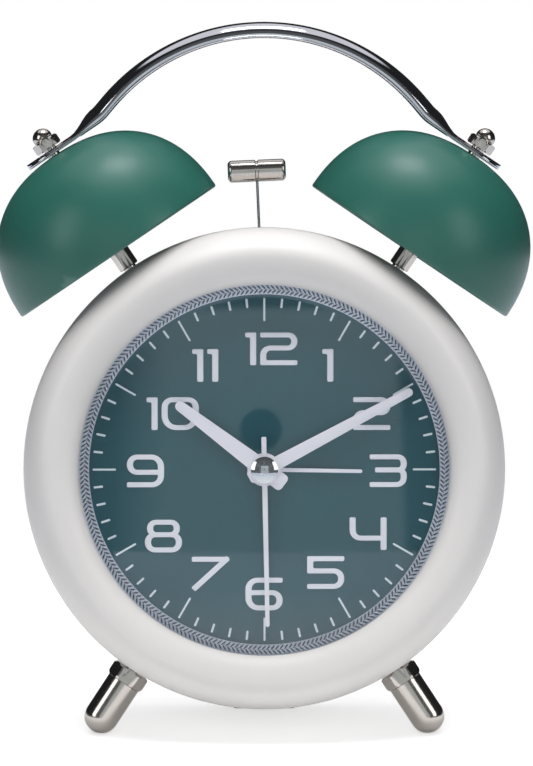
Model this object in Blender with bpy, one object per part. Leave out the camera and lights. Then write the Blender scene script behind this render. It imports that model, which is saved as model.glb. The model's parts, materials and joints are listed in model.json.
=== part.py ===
"""Twin-bell alarm clock.

All sizes are millimetres in the clock's own frame, and the mesh builder turns them into metres. In that
frame the dial axis is the Y axis, the front faces -Y, the bells and the handle stand in the plane y = 0
and Z points to twelve o'clock. The clock rests on two front feet and a rear pad, so its frame leans back.
"""

from math import asin, atan2, cos, hypot, pi, radians, sin, sqrt

import bmesh
import bpy
from mathutils import Vector
from mathutils.geometry import tessellate_polygon

MM = 0.001

# case
CASE_RADIUS = 54.0
CASE_WALL = 2.0
CASE_SIDE_FRONT = -13.0
CASE_SIDE_BACK = 4.0
CASE_FRONT = -26.0
CASE_BACK = 20.0
CASE_BACK_RADIUS = 52.4
CREST_RADIUS = 47.6
OPENING_RADIUS = 41.4
OPENING_Y = -21.6
CASE_STEPS = 48
RING_STEPS = 36
GAP = 0.3

# lens, knurled ring and dial
LENS_RADIUS = 44.2
LENS_SAG = 3.8
LENS_FRONT = OPENING_Y + 0.7 + GAP
LENS_BACK = LENS_FRONT + 1.0
RING_FRONT = LENS_BACK + GAP
RING_INNER = 39.2
DIAL_FRONT = -17.0
DIAL_BACK = -16.4
SUPPORT_FRONT = DIAL_BACK + GAP
SUPPORT_BACK = -13.0
SUPPORT_RADIUS = 50.5
BOSS_RING = 45.4
BOSS_ANGLES = (30, 150, 270)

# hands, as (front face, back face)
SECOND_PLANE = (-20.0, -19.6)
MINUTE_PLANE = (-19.3, -18.9)
HOUR_PLANE = (-18.6, -18.2)
ALARM_PLANE = (-17.9, -17.6)
HOUR_ANGLE = -52.9
MINUTE_ANGLE = 61.8
SECOND_ANGLE = 178.9
ALARM_ANGLE = 91.0

# movement
BOX_FRONT = -12.6
BOX_FLOOR = -11.4
BOX_OPEN = -5.3
LID = (-5.0, -4.0)
BOX_SIDE = 25.0
BOX_TOP = 21.0
BOX_BOTTOM = -24.0
BOX_WALL = 1.2
ALARM_LAYER = (-11.1, -10.1)
HOUR_LAYER = (-9.8, -8.8)
MOTION_LAYER = (-8.5, -7.5)
CENTRE_LAYER = (-7.2, -6.4)
THIRD_LAYER = (-6.1, -5.3)
ARBOR_X = 12.0
THIRD_Z = 8.5
FINE_TEETH = 30
ARBOR_RADIUS = 1.2
ARBOR_BACK = 25.0

# rear cover, batteries and controls
COVER = (17.3, 19.5)
COVER_RADIUS = 50.0
POCKET_X = 29.4
POCKET_LOW = -37.8
POCKET_HIGH = -8.6
POCKET_FRONT = 2.8
POCKET_WALL = 1.4
DOOR_LEDGE = 17.9
BATTERY_RADIUS = 7.1
BATTERY_Y = 10.3
BATTERY_HALF = 25.0
KNOB = (20.0, 28.0)
KNOB_RADIUS = 5.6
SWITCH_X = -26.0
SWITCH_Z = 24.0
BUTTON_X = 24.0
BUTTON_Z = 24.0

# bells, posts, nuts and handle
BELL_TILT = 34.0
BELL_RIM_AT = 58.5
BELL_RADIUS = 26.5
BELL_HEIGHT = 26.2
BELL_WALL = 1.0
BELL_POWER = 2.3
STUD_RADIUS = 1.5
STUD_HOLE = 1.8
STUD_INNER_END = 48.6
SEAT = 54.35
POST_FLATS = 4.0
TAB_AT = BELL_RIM_AT + BELL_HEIGHT + GAP
STRIP_THICKNESS = 1.3
STRIP_HALF_WIDTH = 5.0
TAB_OUTER = 6.4
NUT_AT = TAB_AT + STRIP_THICKNESS + GAP
NUT_FLATS = 5.5
HANDLE_ARC = 44.1
HANDLE_ARC_Z = 52.7
HANDLE_FLANK = 50.0
CROWN = 2.3

# striker
PIVOT_Z = 28.0
HAMMER_REST = -2.4
HEAD_AT = 38.8
HEAD_HALF = 6.55
HEAD_RADIUS = 2.5
WIRE_RADIUS = 0.3
WIRE_Y = -0.6
CRANK_Z = 12.0
CRANK_MODULE = 0.5
PLATE = (4.0, 5.0)

# feet and rear pad
FOOT_TILT = 180 - 33.25
FOOT_Y = -9.0
FOOT_RADIUS = 3.875
FOOT_BALL = 66.85
FOOT_COLLAR = 3.2
PAD_FRONT = 15.5
PAD_BACK = 19.3
PAD_LOW = -55.6
PAD_HALF = 7.0
PAD_SEAT_RADIUS = 53.6


def clear_scene():
    for obj in list(bpy.data.objects):
        bpy.data.objects.remove(obj, do_unlink=True)


def material(name, colour, roughness, metallic=0.0, alpha=1.0):
    found = bpy.data.materials.get(name)
    if found:
        return found
    made = bpy.data.materials.new(name)
    made.use_nodes = True
    shader = made.node_tree.nodes["Principled BSDF"]
    shader.inputs["Base Color"].default_value = (*colour, 1.0)
    shader.inputs["Roughness"].default_value = roughness
    shader.inputs["Metallic"].default_value = metallic
    shader.inputs["Alpha"].default_value = alpha
    return made


FINISHES = {
    "case_paint": ((0.80, 0.79, 0.78), 0.35, 0.0, 1.0),
    "bell_paint": ((0.04, 0.14, 0.12), 0.45, 0.0, 1.0),
    "chrome": ((0.75, 0.75, 0.76), 0.12, 1.0, 1.0),
    "steel": ((0.55, 0.55, 0.56), 0.30, 1.0, 1.0),
    "brass": ((0.72, 0.55, 0.26), 0.30, 1.0, 1.0),
    "clear": ((0.90, 0.92, 0.92), 0.05, 0.0, 0.3),
    "silver_ring": ((0.55, 0.55, 0.60), 0.35, 0.8, 1.0),
    "dial_print": ((0.05, 0.13, 0.15), 0.50, 0.0, 1.0),
    "hand_paint": ((0.62, 0.60, 0.66), 0.40, 0.0, 1.0),
    "cover_plastic": ((0.72, 0.71, 0.69), 0.50, 0.0, 1.0),
    "gear_plastic": ((0.75, 0.73, 0.66), 0.50, 0.0, 1.0),
    "frame_plastic": ((0.08, 0.08, 0.09), 0.55, 0.0, 1.0),
    "board": ((0.05, 0.22, 0.12), 0.50, 0.0, 1.0),
    "copper": ((0.70, 0.32, 0.16), 0.30, 1.0, 1.0),
    "rubber": ((0.05, 0.05, 0.05), 0.80, 0.0, 1.0),
    "battery_wrap": ((0.10, 0.22, 0.35), 0.40, 0.0, 1.0),
}


def empty(name, parent=None, place=(0, 0, 0), tilt=0.0):
    """An axis point: place is in its parent's frame, and tilt turns it about Y, clockwise from the front."""
    made = bpy.data.objects.new(name, None)
    bpy.context.collection.objects.link(made)
    made.parent = parent
    made.location = Vector(place) * MM
    made.rotation_euler = (0, radians(tilt), 0)
    return made


def add(name, shape, parent, finish, sharp=32.0):
    """One solid from (points, faces), with its faces turned outwards."""
    points, faces = shape
    mesh = bpy.data.meshes.new(name)
    mesh.from_pydata([Vector(p) * MM for p in points], [], faces)
    bm = bmesh.new()
    bm.from_mesh(mesh)
    bmesh.ops.recalc_face_normals(bm, faces=bm.faces)
    bm.to_mesh(mesh)
    bm.free()
    mesh.shade_smooth()
    mesh.set_sharp_from_angle(angle=radians(sharp))
    obj = bpy.data.objects.new(name, mesh)
    bpy.context.collection.objects.link(obj)
    obj.parent = parent
    obj.data.materials.append(material(finish, *FINISHES[finish]))
    return obj


def boolean(obj, tool, operation="DIFFERENCE"):
    tool.hide_render = True
    tool.display_type = "WIRE"
    step = obj.modifiers.new(tool.name, "BOOLEAN")
    step.operation = operation
    step.object = tool


# ---- shapes ----


def hex_radius(flats, angle):
    """Distance from a hexagon's centre to its side, with corners at 0, 60, 120 ... degrees."""
    return flats / 2 / cos(angle % (pi / 3) - pi / 6)


def turned(profile, steps, axis="Y"):
    """Solid of revolution. A profile point is (radius, height) or (radius, height, flats), where flats cuts
    a hexagon from that ring. A profile that doesn't end on the axis closes on itself."""
    points, rings = [], []
    for radius, height, *flats in profile:
        if radius == 0:
            rings.append([len(points)])
            points.append((0, 0, height))
            continue
        rings.append(range(len(points), len(points) + steps))
        for k in range(steps):
            angle = 2 * pi * k / steps
            reach = min(radius, hex_radius(flats[0], angle)) if flats else radius
            points.append((reach * cos(angle), reach * sin(angle), height))
    if axis == "Y":
        points = [(x, z, y) for x, y, z in points]
    if axis == "X":
        points = [(z, y, x) for x, y, z in points]
    pairs = list(zip(rings, rings[1:]))
    if len(rings[0]) > 1 and len(rings[-1]) > 1:
        pairs.append((rings[-1], rings[0]))
    faces = []
    for a, b in pairs:
        for k in range(steps):
            j = (k + 1) % steps
            corners = [a[k % len(a)], a[j % len(a)], b[j % len(b)], b[k % len(b)]]
            faces.append(list(dict.fromkeys(corners)))
    return points, [f for f in faces if len(f) > 2]


def circle(radius, steps, centre=(0.0, 0.0)):
    turns = [2 * pi * k / steps for k in range(steps)]
    return [(centre[0] + radius * cos(t), centre[1] + radius * sin(t)) for t in turns]


def rectangle(x0, x1, z0, z1):
    return [(x0, z0), (x1, z0), (x1, z1), (x0, z1)]


def rounded(x0, x1, z0, z1, radius, steps=3):
    corners = [(x1, z1, 0), (x0, z1, 90), (x0, z0, 180), (x1, z0, 270)]
    outline = []
    for x, z, start in corners:
        cx = x - radius if x == x1 else x + radius
        cz = z - radius if z == z1 else z + radius
        for k in range(steps + 1):
            turn = radians(start + 90 * k / steps)
            outline.append((cx + radius * cos(turn), cz + radius * sin(turn)))
    return outline


class Stack:
    """Points and faces of a solid made of flat outlines that lie across the Y axis."""

    def __init__(self):
        self.points = []
        self.faces = []

    def loop(self, outline, y):
        first = len(self.points)
        self.points += [(x, y, z) for x, z in outline]
        return list(range(first, len(self.points)))

    def wall(self, a, b):
        self.faces += [[a[k - 1], a[k], b[k], b[k - 1]] for k in range(len(a))]

    def cap(self, *loops):
        flat = [i for loop in loops for i in loop]
        outlines = [[Vector((self.points[i][0], self.points[i][2], 0)) for i in loop] for loop in loops]
        self.faces += [[flat[k] for k in corner] for corner in tessellate_polygon(outlines)]

    def shape(self):
        return self.points, self.faces


def layered(layers, holes=()):
    """Layers of (outline, front, back) from front to back. Each outline lies inside or around the next, and
    the holes run through all of them."""
    stack = Stack()
    walls = [(stack.loop(outline, front), stack.loop(outline, back)) for outline, front, back in layers]
    bores = [(stack.loop(h, layers[0][1]), stack.loop(h, layers[-1][2])) for h in holes]
    stack.cap(walls[0][0], *[b[0] for b in bores])
    stack.cap(walls[-1][1], *[b[1] for b in bores])
    for here, behind in zip(walls, walls[1:]):
        stack.cap(here[1], behind[0])
    for front, back in walls + bores:
        stack.wall(front, back)
    return stack.shape()


def tray(outline, inside, base, floor, mouth, holes=()):
    """A tray with its base at one end: the holes pierce the base, and the inside is open at the mouth."""
    stack = Stack()
    outer = stack.loop(outline, base), stack.loop(outline, mouth)
    inner = stack.loop(inside, floor), stack.loop(inside, mouth)
    bores = [(stack.loop(h, base), stack.loop(h, floor)) for h in holes]
    stack.cap(outer[0], *[b[0] for b in bores])
    stack.cap(inner[0], *[b[1] for b in bores])
    stack.cap(outer[1], inner[1])
    for front, back in [outer, inner, *bores]:
        stack.wall(front, back)
    return stack.shape()


def gear(teeth, module, phase=0.0):
    """Outline of a gear with teeth thinned for backlash: flat-topped, or pointed on a wheel of fine teeth.
    One tooth points along phase."""
    pitch_radius = teeth * module / 2
    root, tip = pitch_radius - 1.15 * module, pitch_radius + 0.75 * module
    pitch = 2 * pi / teeth
    tooth = [(root, -0.31), (tip, -0.09), (tip, 0.09), (root, 0.31)]
    if teeth > FINE_TEETH:
        tooth = [(tip, 0.0), (root, 0.5)]
    outline = []
    for k in range(teeth):
        for radius, share in tooth:
            angle = phase + pitch * (k + share)
            outline.append((radius * cos(angle), radius * sin(angle)))
    return outline


def meshing(teeth, other_teeth, direction, other_phase=0.0):
    """Phase of a gear whose teeth fill the other gear's gaps. direction is the way from the other to it."""
    share = (direction - other_phase) * other_teeth / (2 * pi) % 1
    return direction + pi - (0.5 - share) * 2 * pi / teeth


def hand(length, base, tip, tail, tail_width, hub):
    """Outline of a clock hand that points to twelve, with a round hub."""
    steps = 8
    side = [(tip / 2 * sin(t), length - tip / 2 + tip / 2 * cos(t)) for t in (0, pi / 6, pi / 3, pi / 2)]
    top = asin(base / 2 / hub)
    low = pi - asin(tail_width / 2 / hub)
    turns = [top + (low - top) * k / steps for k in range(steps + 1)]
    side += [(hub * sin(t), hub * cos(t)) for t in turns]
    side += [(tail_width / 2, -tail + tail_width / 4), (tail_width / 4, -tail)]
    return side + [(-x, z) for x, z in reversed(side[1:])]


def turned_clockwise(outline, degrees):
    """An outline turned as a clock's hand turns, seen from the front."""
    c, s = cos(radians(degrees)), sin(radians(degrees))
    return [(x * c + z * s, z * c - x * s) for x, z in outline]


def arc(centre, size, start, end, steps):
    """Points of an ellipse's arc, as (radius, y), between two angles in degrees."""
    turns = [radians(start + (end - start) * k / steps) for k in range(steps + 1)]
    return [(centre[0] + size[0] * cos(t), centre[1] + size[1] * sin(t)) for t in turns]


def helix(radius_start, radius_end, start, end, turns, wire):
    """A square wire wound about the X axis, from x = start to x = end."""
    per_turn = 9
    count = turns * per_turn
    points, faces = [], []
    for k in range(count + 1):
        share = k / count
        angle = 2 * pi * k / per_turn
        reach = radius_start + (radius_end - radius_start) * share
        x = start + (end - start) * share
        for dx, dr in ((-wire, -wire), (wire, -wire), (wire, wire), (-wire, wire)):
            points.append((x + dx, (reach + dr) * cos(angle), (reach + dr) * sin(angle)))
    for k in range(count):
        a, b = 4 * k, 4 * k + 4
        faces += [[a + c, a + (c + 1) % 4, b + (c + 1) % 4, b + c] for c in range(4)]
    faces += [[0, 1, 2, 3], [4 * count + c for c in range(4)]]
    return points, faces


# ---- pieces ----


def case_shell(clock):
    side = CASE_RADIUS - CASE_WALL
    back = CASE_BACK_RADIUS - CASE_WALL
    lip = OPENING_Y + 0.7
    shoulder = (CASE_RADIUS - CREST_RADIUS, CASE_FRONT - CASE_SIDE_FRONT)
    outer = arc((CREST_RADIUS, CASE_SIDE_FRONT), shoulder, 0, 90, 5)
    curl = arc((CREST_RADIUS, OPENING_Y), (OPENING_RADIUS - CREST_RADIUS, CASE_FRONT - OPENING_Y), 90, 0, 3)
    profile = [(CASE_BACK_RADIUS, CASE_BACK), (53.4, 12.0), (CASE_RADIUS, CASE_SIDE_BACK), *outer, *curl[1:]]
    profile += [(OPENING_RADIUS, lip), (LENS_RADIUS + 0.5, lip), (48.2, -20.6), (51.0, -17.0)]
    profile += [(side, CASE_SIDE_FRONT), (side, CASE_SIDE_BACK), (51.4, 12.0), (back, CASE_BACK)]
    shell = add("case_shell", turned(profile, CASE_STEPS), clock, "case_paint")
    for tilt, y in ((BELL_TILT, 0), (-BELL_TILT, 0), (FOOT_TILT, FOOT_Y), (-FOOT_TILT, FOOT_Y)):
        drill(shell, f"stud_hole_{tilt:.0f}", clock, tilt, y, 46.0, 58.0)
    slot = layered([(rectangle(-4.8, 5.6, 46.0, 58.0), WIRE_Y - 1.6, WIRE_Y + 1.6)])
    boolean(shell, add("wire_slot", slot, clock, "case_paint"))
    return shell


def drill(obj, name, clock, tilt, y, start, end):
    radial = empty(name + "_axis", clock, (0, y, 0), tilt)
    bore = turned([(0, start), (STUD_HOLE, start), (STUD_HOLE, end), (0, end)], 12, "Z")
    boolean(obj, add(name, bore, radial, "steel"))


def lens(clock):
    dome = OPENING_RADIUS - 0.5
    shares = (1, 0.8, 0.5, 0)
    front = [(dome * share, LENS_FRONT - LENS_SAG * (1 - share**2)) for share in shares]
    back = [(r, y + LENS_BACK - LENS_FRONT) for r, y in reversed(front)]
    profile = [(0, front[-1][1]), *reversed(front[:-1]), (LENS_RADIUS, LENS_FRONT), (LENS_RADIUS, LENS_BACK)]
    profile += [*reversed(back[1:]), (0, back[0][1])]
    add("lens", turned(profile, RING_STEPS), clock, "clear")


def dial_group(clock):
    ring_back = DIAL_FRONT - GAP
    ring = [(LENS_RADIUS, RING_FRONT), (LENS_RADIUS, ring_back), (RING_INNER, ring_back)]
    ring += [(RING_INNER, ring_back - 0.4), (OPENING_RADIUS, RING_FRONT)]
    add("dial_ring", turned(ring, RING_STEPS), clock, "silver_ring")
    plate = [(circle(LENS_RADIUS, RING_STEPS), DIAL_FRONT, DIAL_BACK)]
    add("dial_plate", layered(plate, [circle(3.0, 16)]), clock, "dial_print")
    rim = circle(LENS_RADIUS, RING_STEPS), circle(40.0, RING_STEPS)
    flange = SUPPORT_BACK - 1.4
    stack = Stack()
    front = stack.loop(rim[0], SUPPORT_FRONT), stack.loop(rim[1], SUPPORT_FRONT)
    step = stack.loop(rim[0], flange), stack.loop(circle(SUPPORT_RADIUS, RING_STEPS), flange)
    floor = stack.loop(rim[1], flange)
    back = stack.loop(circle(SUPPORT_RADIUS, RING_STEPS), SUPPORT_BACK)
    hole = stack.loop(circle(3.0, 16), flange), stack.loop(circle(3.0, 16), SUPPORT_BACK)
    stack.cap(front[0], front[1])
    stack.cap(step[1], step[0])
    stack.cap(floor, hole[0])
    stack.cap(back, hole[1])
    for a, b in ((front[0], step[0]), (front[1], floor), (step[1], back), hole):
        stack.wall(a, b)
    support = add("dial_support", stack.shape(), clock, "frame_plastic")
    for number, angle in enumerate(BOSS_ANGLES, 1):
        x, z = BOSS_RING * cos(radians(angle)), BOSS_RING * sin(radians(angle))
        spot = empty(f"boss_axis_{number}", clock, (x, 0, z))
        root = SUPPORT_BACK - 0.5
        boss = [(0, root), (2.7, root), (2.7, 16.8), (1.4, 16.8), (1.4, 6.0), (0, 6.0)]
        boolean(support, add(f"boss_{number}", turned(boss, 12), spot, "frame_plastic"), "UNION")
        screw = [(0, 7.0), (1.1, 7.0), (1.1, 19.8), (2.5, 19.8), (2.5, 20.6), (1.6, 21.2), (0, 21.2)]
        add(f"cover_screw_{number}", turned(screw, 12), spot, "steel")


def hands(bodies):
    shapes = {
        "hour": (hand(24.7, 3.8, 2.3, 5.6, 3.9, 3.7), HOUR_ANGLE, HOUR_PLANE, 1.8),
        "minute": (hand(37.5, 3.0, 1.9, 3.9, 3.0, 3.4), MINUTE_ANGLE, MINUTE_PLANE, 1.2),
        "alarm": (hand(21.9, 0.9, 0.8, 3.8, 1.4, 3.7), ALARM_ANGLE, ALARM_PLANE, 2.4),
    }
    for name, (outline, angle, plane, bore) in shapes.items():
        shape = layered([(turned_clockwise(outline, angle), *plane)], [circle(bore, 16)])
        add(f"{name}_hand", shape, bodies[name], "hand_paint")
    second = turned_clockwise(hand(35.1, 1.2, 0.95, 7.4, 1.1, 2.4), SECOND_ANGLE)
    add("second_hand", layered([(second, *SECOND_PLANE)], [circle(0.6, 12)]), bodies["second"], "hand_paint")
    top = SECOND_PLANE[0] - GAP
    dome = [(0, top - 2.0), (1.3, top - 1.8), (2.4, top - 1.2), (3.03, top - 0.4), (3.03, top)]
    cap = dome + [(0.6, top), (0.6, top - 0.8), (0, top - 0.8)]
    add("centre_cap", turned(cap, 16), bodies["second"], "chrome")


def wheels(bodies):
    """The hands' pipes and wheels. All the wheels turn about axes along Y."""
    third_way = pi / 2
    pipe = [(circle(2.2, 16), ALARM_PLANE[0], ALARM_LAYER[0]), (gear(32, 0.5), *ALARM_LAYER)]
    add("alarm_wheel", layered(pipe, [circle(1.8, 16)]), bodies["alarm"], "gear_plastic")
    pipe = [(circle(1.6, 16), HOUR_PLANE[0], HOUR_LAYER[0]), (gear(32, 0.6), *HOUR_LAYER)]
    add("hour_wheel", layered(pipe, [circle(1.2, 16)]), bodies["hour"], "gear_plastic")
    stack = [(circle(1.0, 12), MINUTE_PLANE[0], MOTION_LAYER[0]), (gear(8, 0.75), *MOTION_LAYER)]
    stack += [(circle(1.6, 12), MOTION_LAYER[1], CENTRE_LAYER[0])]
    stack += [(gear(48, THIRD_Z / 27), *CENTRE_LAYER)]
    add("minute_wheel", layered(stack, [circle(0.6, 12)]), bodies["minute"], "gear_plastic")
    stack = [(circle(0.4, 12), SECOND_PLANE[0] - 0.8, THIRD_LAYER[0])]
    stack += [(gear(6, THIRD_Z / 25.5), *THIRD_LAYER)]
    stack += [(circle(0.4, 12), THIRD_LAYER[1], LID[1] + 0.3)]
    add("second_arbor", layered(stack), bodies["second"], "gear_plastic")
    pinion = gear(6, THIRD_Z / 27, meshing(6, 48, third_way))
    wheel = gear(45, THIRD_Z / 25.5, meshing(45, 6, third_way))
    stack = [(circle(0.4, 12), -8.7, CENTRE_LAYER[0]), (pinion, *CENTRE_LAYER)]
    stack += [(circle(0.5, 12), CENTRE_LAYER[1], THIRD_LAYER[0]), (wheel, *THIRD_LAYER)]
    stack += [(circle(0.4, 12), THIRD_LAYER[1], LID[1] + 0.3)]
    add("third_wheel", layered(stack), bodies["third"], "gear_plastic")
    stack = [(circle(0.8, 12), BOX_FLOOR - 0.6, HOUR_LAYER[0])]
    stack += [(gear(8, 0.6, meshing(8, 32, 0.0)), *HOUR_LAYER)]
    stack += [(circle(1.4, 12), HOUR_LAYER[1], MOTION_LAYER[0])]
    stack += [(gear(24, 0.75, meshing(24, 8, 0.0)), *MOTION_LAYER)]
    stack += [(circle(ARBOR_RADIUS, 12), MOTION_LAYER[1], ARBOR_BACK)]
    add("motion_wheel", layered(stack), bodies["motion"], "gear_plastic")
    stack = [(circle(0.8, 12), BOX_FLOOR - 0.6, ALARM_LAYER[0])]
    stack += [(gear(16, 0.5, meshing(16, 32, pi)), *ALARM_LAYER)]
    stack += [(circle(ARBOR_RADIUS, 12), ALARM_LAYER[1], ARBOR_BACK)]
    add("alarm_setting_arbor", layered(stack), bodies["setting"], "gear_plastic")
    bore = ARBOR_RADIUS + GAP
    knob = [(0, KNOB[1]), (KNOB_RADIUS - 0.8, KNOB[1]), (KNOB_RADIUS, KNOB[1] - 0.8), (KNOB_RADIUS, 22.4)]
    knob += [(2.6, 22.4), (2.6, KNOB[0]), (bore, KNOB[0]), (bore, ARBOR_BACK + GAP), (0, ARBOR_BACK + GAP)]
    for name, body in (("time_set_knob", "motion"), ("alarm_set_knob", "setting")):
        add(name, turned(knob, 16), bodies[body], "cover_plastic")


def movement(clock):
    outline = rounded(-BOX_SIDE, BOX_SIDE, BOX_BOTTOM, BOX_TOP, 2.0)
    inner = BOX_SIDE - BOX_WALL
    inside = rounded(-inner, inner, BOX_BOTTOM + BOX_WALL, BOX_TOP - BOX_WALL, 1.0)
    arbors = [circle(1.1, 12, (x, 0)) for x in (-ARBOR_X, ARBOR_X)]
    front = tray(outline, inside, BOX_FRONT, BOX_FLOOR, BOX_OPEN, [circle(2.5, 16), *arbors])
    add("movement_case", front, clock, "frame_plastic")
    arbors = [circle(ARBOR_RADIUS + GAP, 12, (x, 0)) for x in (-ARBOR_X, ARBOR_X)]
    pivots = [circle(0.7, 10, (0, z)) for z in (0, THIRD_Z)]
    add("movement_lid", layered([(outline, *LID)], arbors + pivots), clock, "frame_plastic")
    bridge = rectangle(-6.0, 2.4, 5.2, BOX_TOP - BOX_WALL - GAP)
    add("train_bridge", layered([(bridge, -8.4, -7.6)], [circle(0.7, 10, (0, THIRD_Z))]), clock, "brass")
    board = rectangle(-21.0, 21.0, -22.2, -12.4)
    add("circuit_board", layered([(board, -11.0, -10.2)]), clock, "board")
    coil_axis = empty("coil_axis", clock, (0, -7.6, -17.0))
    coil = [(2.2, -14.0), (2.2, 0.0), (0.9, 0.0), (0.9, -14.0)]
    add("coil", turned(coil, 16, "X"), coil_axis, "copper")
    outline = [(-16.6, -17.5), (2.6, -17.5), (2.6, -9.6), (-3.0, -9.6), (-3.0, -12.0), (1.4, -12.0)]
    outline += [(1.4, -16.5), (-15.4, -16.5), (-15.4, -12.0), (-11.0, -12.0), (-11.0, -9.6), (-16.6, -9.6)]
    add("stator", layered([(outline, -8.0, -7.2)]), clock, "steel")


def rear_group(clock, bodies):
    reach = POCKET_X + POCKET_WALL
    box = rectangle(-reach, reach, POCKET_LOW - POCKET_WALL, POCKET_HIGH + POCKET_WALL)
    arbors = [circle(ARBOR_RADIUS + 0.6, 12, (x, 0)) for x in (-ARBOR_X, ARBOR_X)]
    spots = [(BOSS_RING * cos(radians(a)), BOSS_RING * sin(radians(a))) for a in BOSS_ANGLES]
    screws = [circle(STUD_HOLE, 12, spot) for spot in spots]
    slots = [circle(4.1, 16, (BUTTON_X, BUTTON_Z)), rectangle(SWITCH_X - 1.6, SWITCH_X + 5.6, 22.6, 25.4)]
    ledge = rectangle(-POCKET_X - 1.0, POCKET_X + 1.0, POCKET_LOW - 1.0, POCKET_HIGH + 1.0)
    cavity = rectangle(-POCKET_X, POCKET_X, POCKET_LOW, POCKET_HIGH)
    holes = arbors + screws + slots
    stack = Stack()
    rim = circle(COVER_RADIUS, RING_STEPS)
    outer = stack.loop(rim, COVER[0]), stack.loop(rim, COVER[1])
    pocket = stack.loop(box, POCKET_FRONT - POCKET_WALL), stack.loop(box, COVER[0])
    recess = stack.loop(ledge, DOOR_LEDGE), stack.loop(ledge, COVER[1])
    room = stack.loop(cavity, POCKET_FRONT), stack.loop(cavity, DOOR_LEDGE)
    bores = [(stack.loop(h, COVER[0]), stack.loop(h, COVER[1])) for h in holes]
    stack.cap(outer[0], pocket[1], *[b[0] for b in bores])
    stack.cap(outer[1], recess[1], *[b[1] for b in bores])
    stack.cap(pocket[0])
    stack.cap(room[0])
    stack.cap(recess[0], room[1])
    for a, b in [outer, pocket, recess, room, *bores]:
        stack.wall(a, b)
    add("rear_cover", stack.shape(), clock, "cover_plastic")
    door = rectangle(-POCKET_X - 0.7, POCKET_X + 0.7, 0.0, POCKET_HIGH - POCKET_LOW + 1.4)
    add("battery_door", layered([(door, DOOR_LEDGE + GAP - COVER[1], 0.0)]), bodies["door"], "cover_plastic")
    low = POCKET_LOW + BATTERY_RADIUS + 0.15
    for name, z in (("lower", low), ("upper", POCKET_HIGH - BATTERY_RADIUS - 0.15)):
        sign = 1 if name == "upper" else -1
        axis = empty(f"battery_axis_{name}", clock, (0, BATTERY_Y, z))
        half, shoulder = BATTERY_HALF, BATTERY_RADIUS - 0.6
        cell = [(0, -half), (shoulder, -half), (BATTERY_RADIUS, -half + 0.6), (BATTERY_RADIUS, half - 1.6)]
        cell += [(shoulder, half - 1.0), (2.8, half - 1.0), (2.8, half), (0, half)]
        cell = [(r, sign * x) for r, x in cell]
        add(f"battery_{name}", turned(cell, 16, "X"), axis, "battery_wrap")
        spring = helix(2.4, 4.6, -sign * (BATTERY_HALF + 0.7), -sign * (POCKET_X - 0.6), 3, 0.25)
        add(f"battery_spring_{name}", spring, axis, "steel")
    switch = [(rectangle(-3.4, 3.4, -2.4, 2.4), 15.4, 17.0), (rectangle(-1.2, 1.2, -1.1, 1.1), 17.0, 19.8)]
    switch += [(rectangle(-2.2, 2.2, -1.7, 1.7), 19.8, 21.6)]
    add("alarm_switch", layered(switch), bodies["switch"], "frame_plastic")
    button = [(0, 22.2), (3.2, 22.2), (3.8, 21.6), (3.8, 17.0), (5.0, 17.0), (5.0, 15.6), (0, 15.6)]
    add("light_button", turned(button, 16), bodies["button"], "frame_plastic")


def bell_profile():
    """Outer face from the hole at the top down to the rim, then the inner face back up."""
    outer, inner = [], []
    for k in range(8):
        share = (STUD_HOLE / BELL_RADIUS) if k == 0 else sin(pi / 2 * k / 7)
        height = (1 - share**BELL_POWER) ** (1 / BELL_POWER)
        outer.append((BELL_RADIUS * share, BELL_HEIGHT * height))
        inner.append(((BELL_RADIUS - BELL_WALL) * share, (BELL_HEIGHT - BELL_WALL) * height))
    inner[0] = (STUD_HOLE, inner[0][1])
    return outer + inner[::-1]


def bells(clock):
    for name, sign in (("left", -1), ("right", 1)):
        axis = empty(f"bell_axis_{name}", clock, (0, 0, 0), sign * BELL_TILT)
        profile = [(r, h + BELL_RIM_AT) for r, h in bell_profile()]
        add(f"bell_{name}", turned(profile, 32, "Z"), axis, "bell_paint")
        top = BELL_RIM_AT + BELL_HEIGHT - BELL_WALL - 2 * GAP - 1.1
        post = [(0, STUD_INNER_END), (STUD_RADIUS, STUD_INNER_END), (STUD_RADIUS, SEAT)]
        post += [(2.31, SEAT, POST_FLATS), (2.31, top, POST_FLATS)]
        post += [(STUD_RADIUS, top), (STUD_RADIUS, NUT_AT + 3.2), (0, NUT_AT + 3.2)]
        add(f"bell_post_{name}", turned(post, 12, "Z"), axis, "steel", 25)
        washer = [(STUD_HOLE, top + GAP), (3.6, top + GAP), (3.6, top + 0.8), (STUD_HOLE, top + 0.8)]
        add(f"bell_washer_{name}", turned(washer, 16, "Z"), axis, "rubber")
        ring = [(STUD_HOLE, 49.3), (3.18, 49.3, 5.5), (3.18, 51.4, 5.5), (STUD_HOLE, 51.4)]
        add(f"post_nut_{name}", turned(ring, 12, "Z"), axis, "brass", 25)
        nut = [(0, 5.0), (1.15, 4.69), (1.99, 3.85), (2.3, 2.7), (2.1, 2.3), (2.75, 2.3)]
        nut += [(3.18, 1.9, NUT_FLATS), (3.18, 0.25, NUT_FLATS), (2.9, 0)]
        nut += [(STUD_HOLE, 0), (STUD_HOLE, 3.6), (0, 3.6)]
        nut = [(r, h + NUT_AT, *flats) for r, h, *flats in nut]
        add(f"acorn_nut_{name}", turned(nut, 12, "Z"), axis, "chrome", 25)


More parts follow.
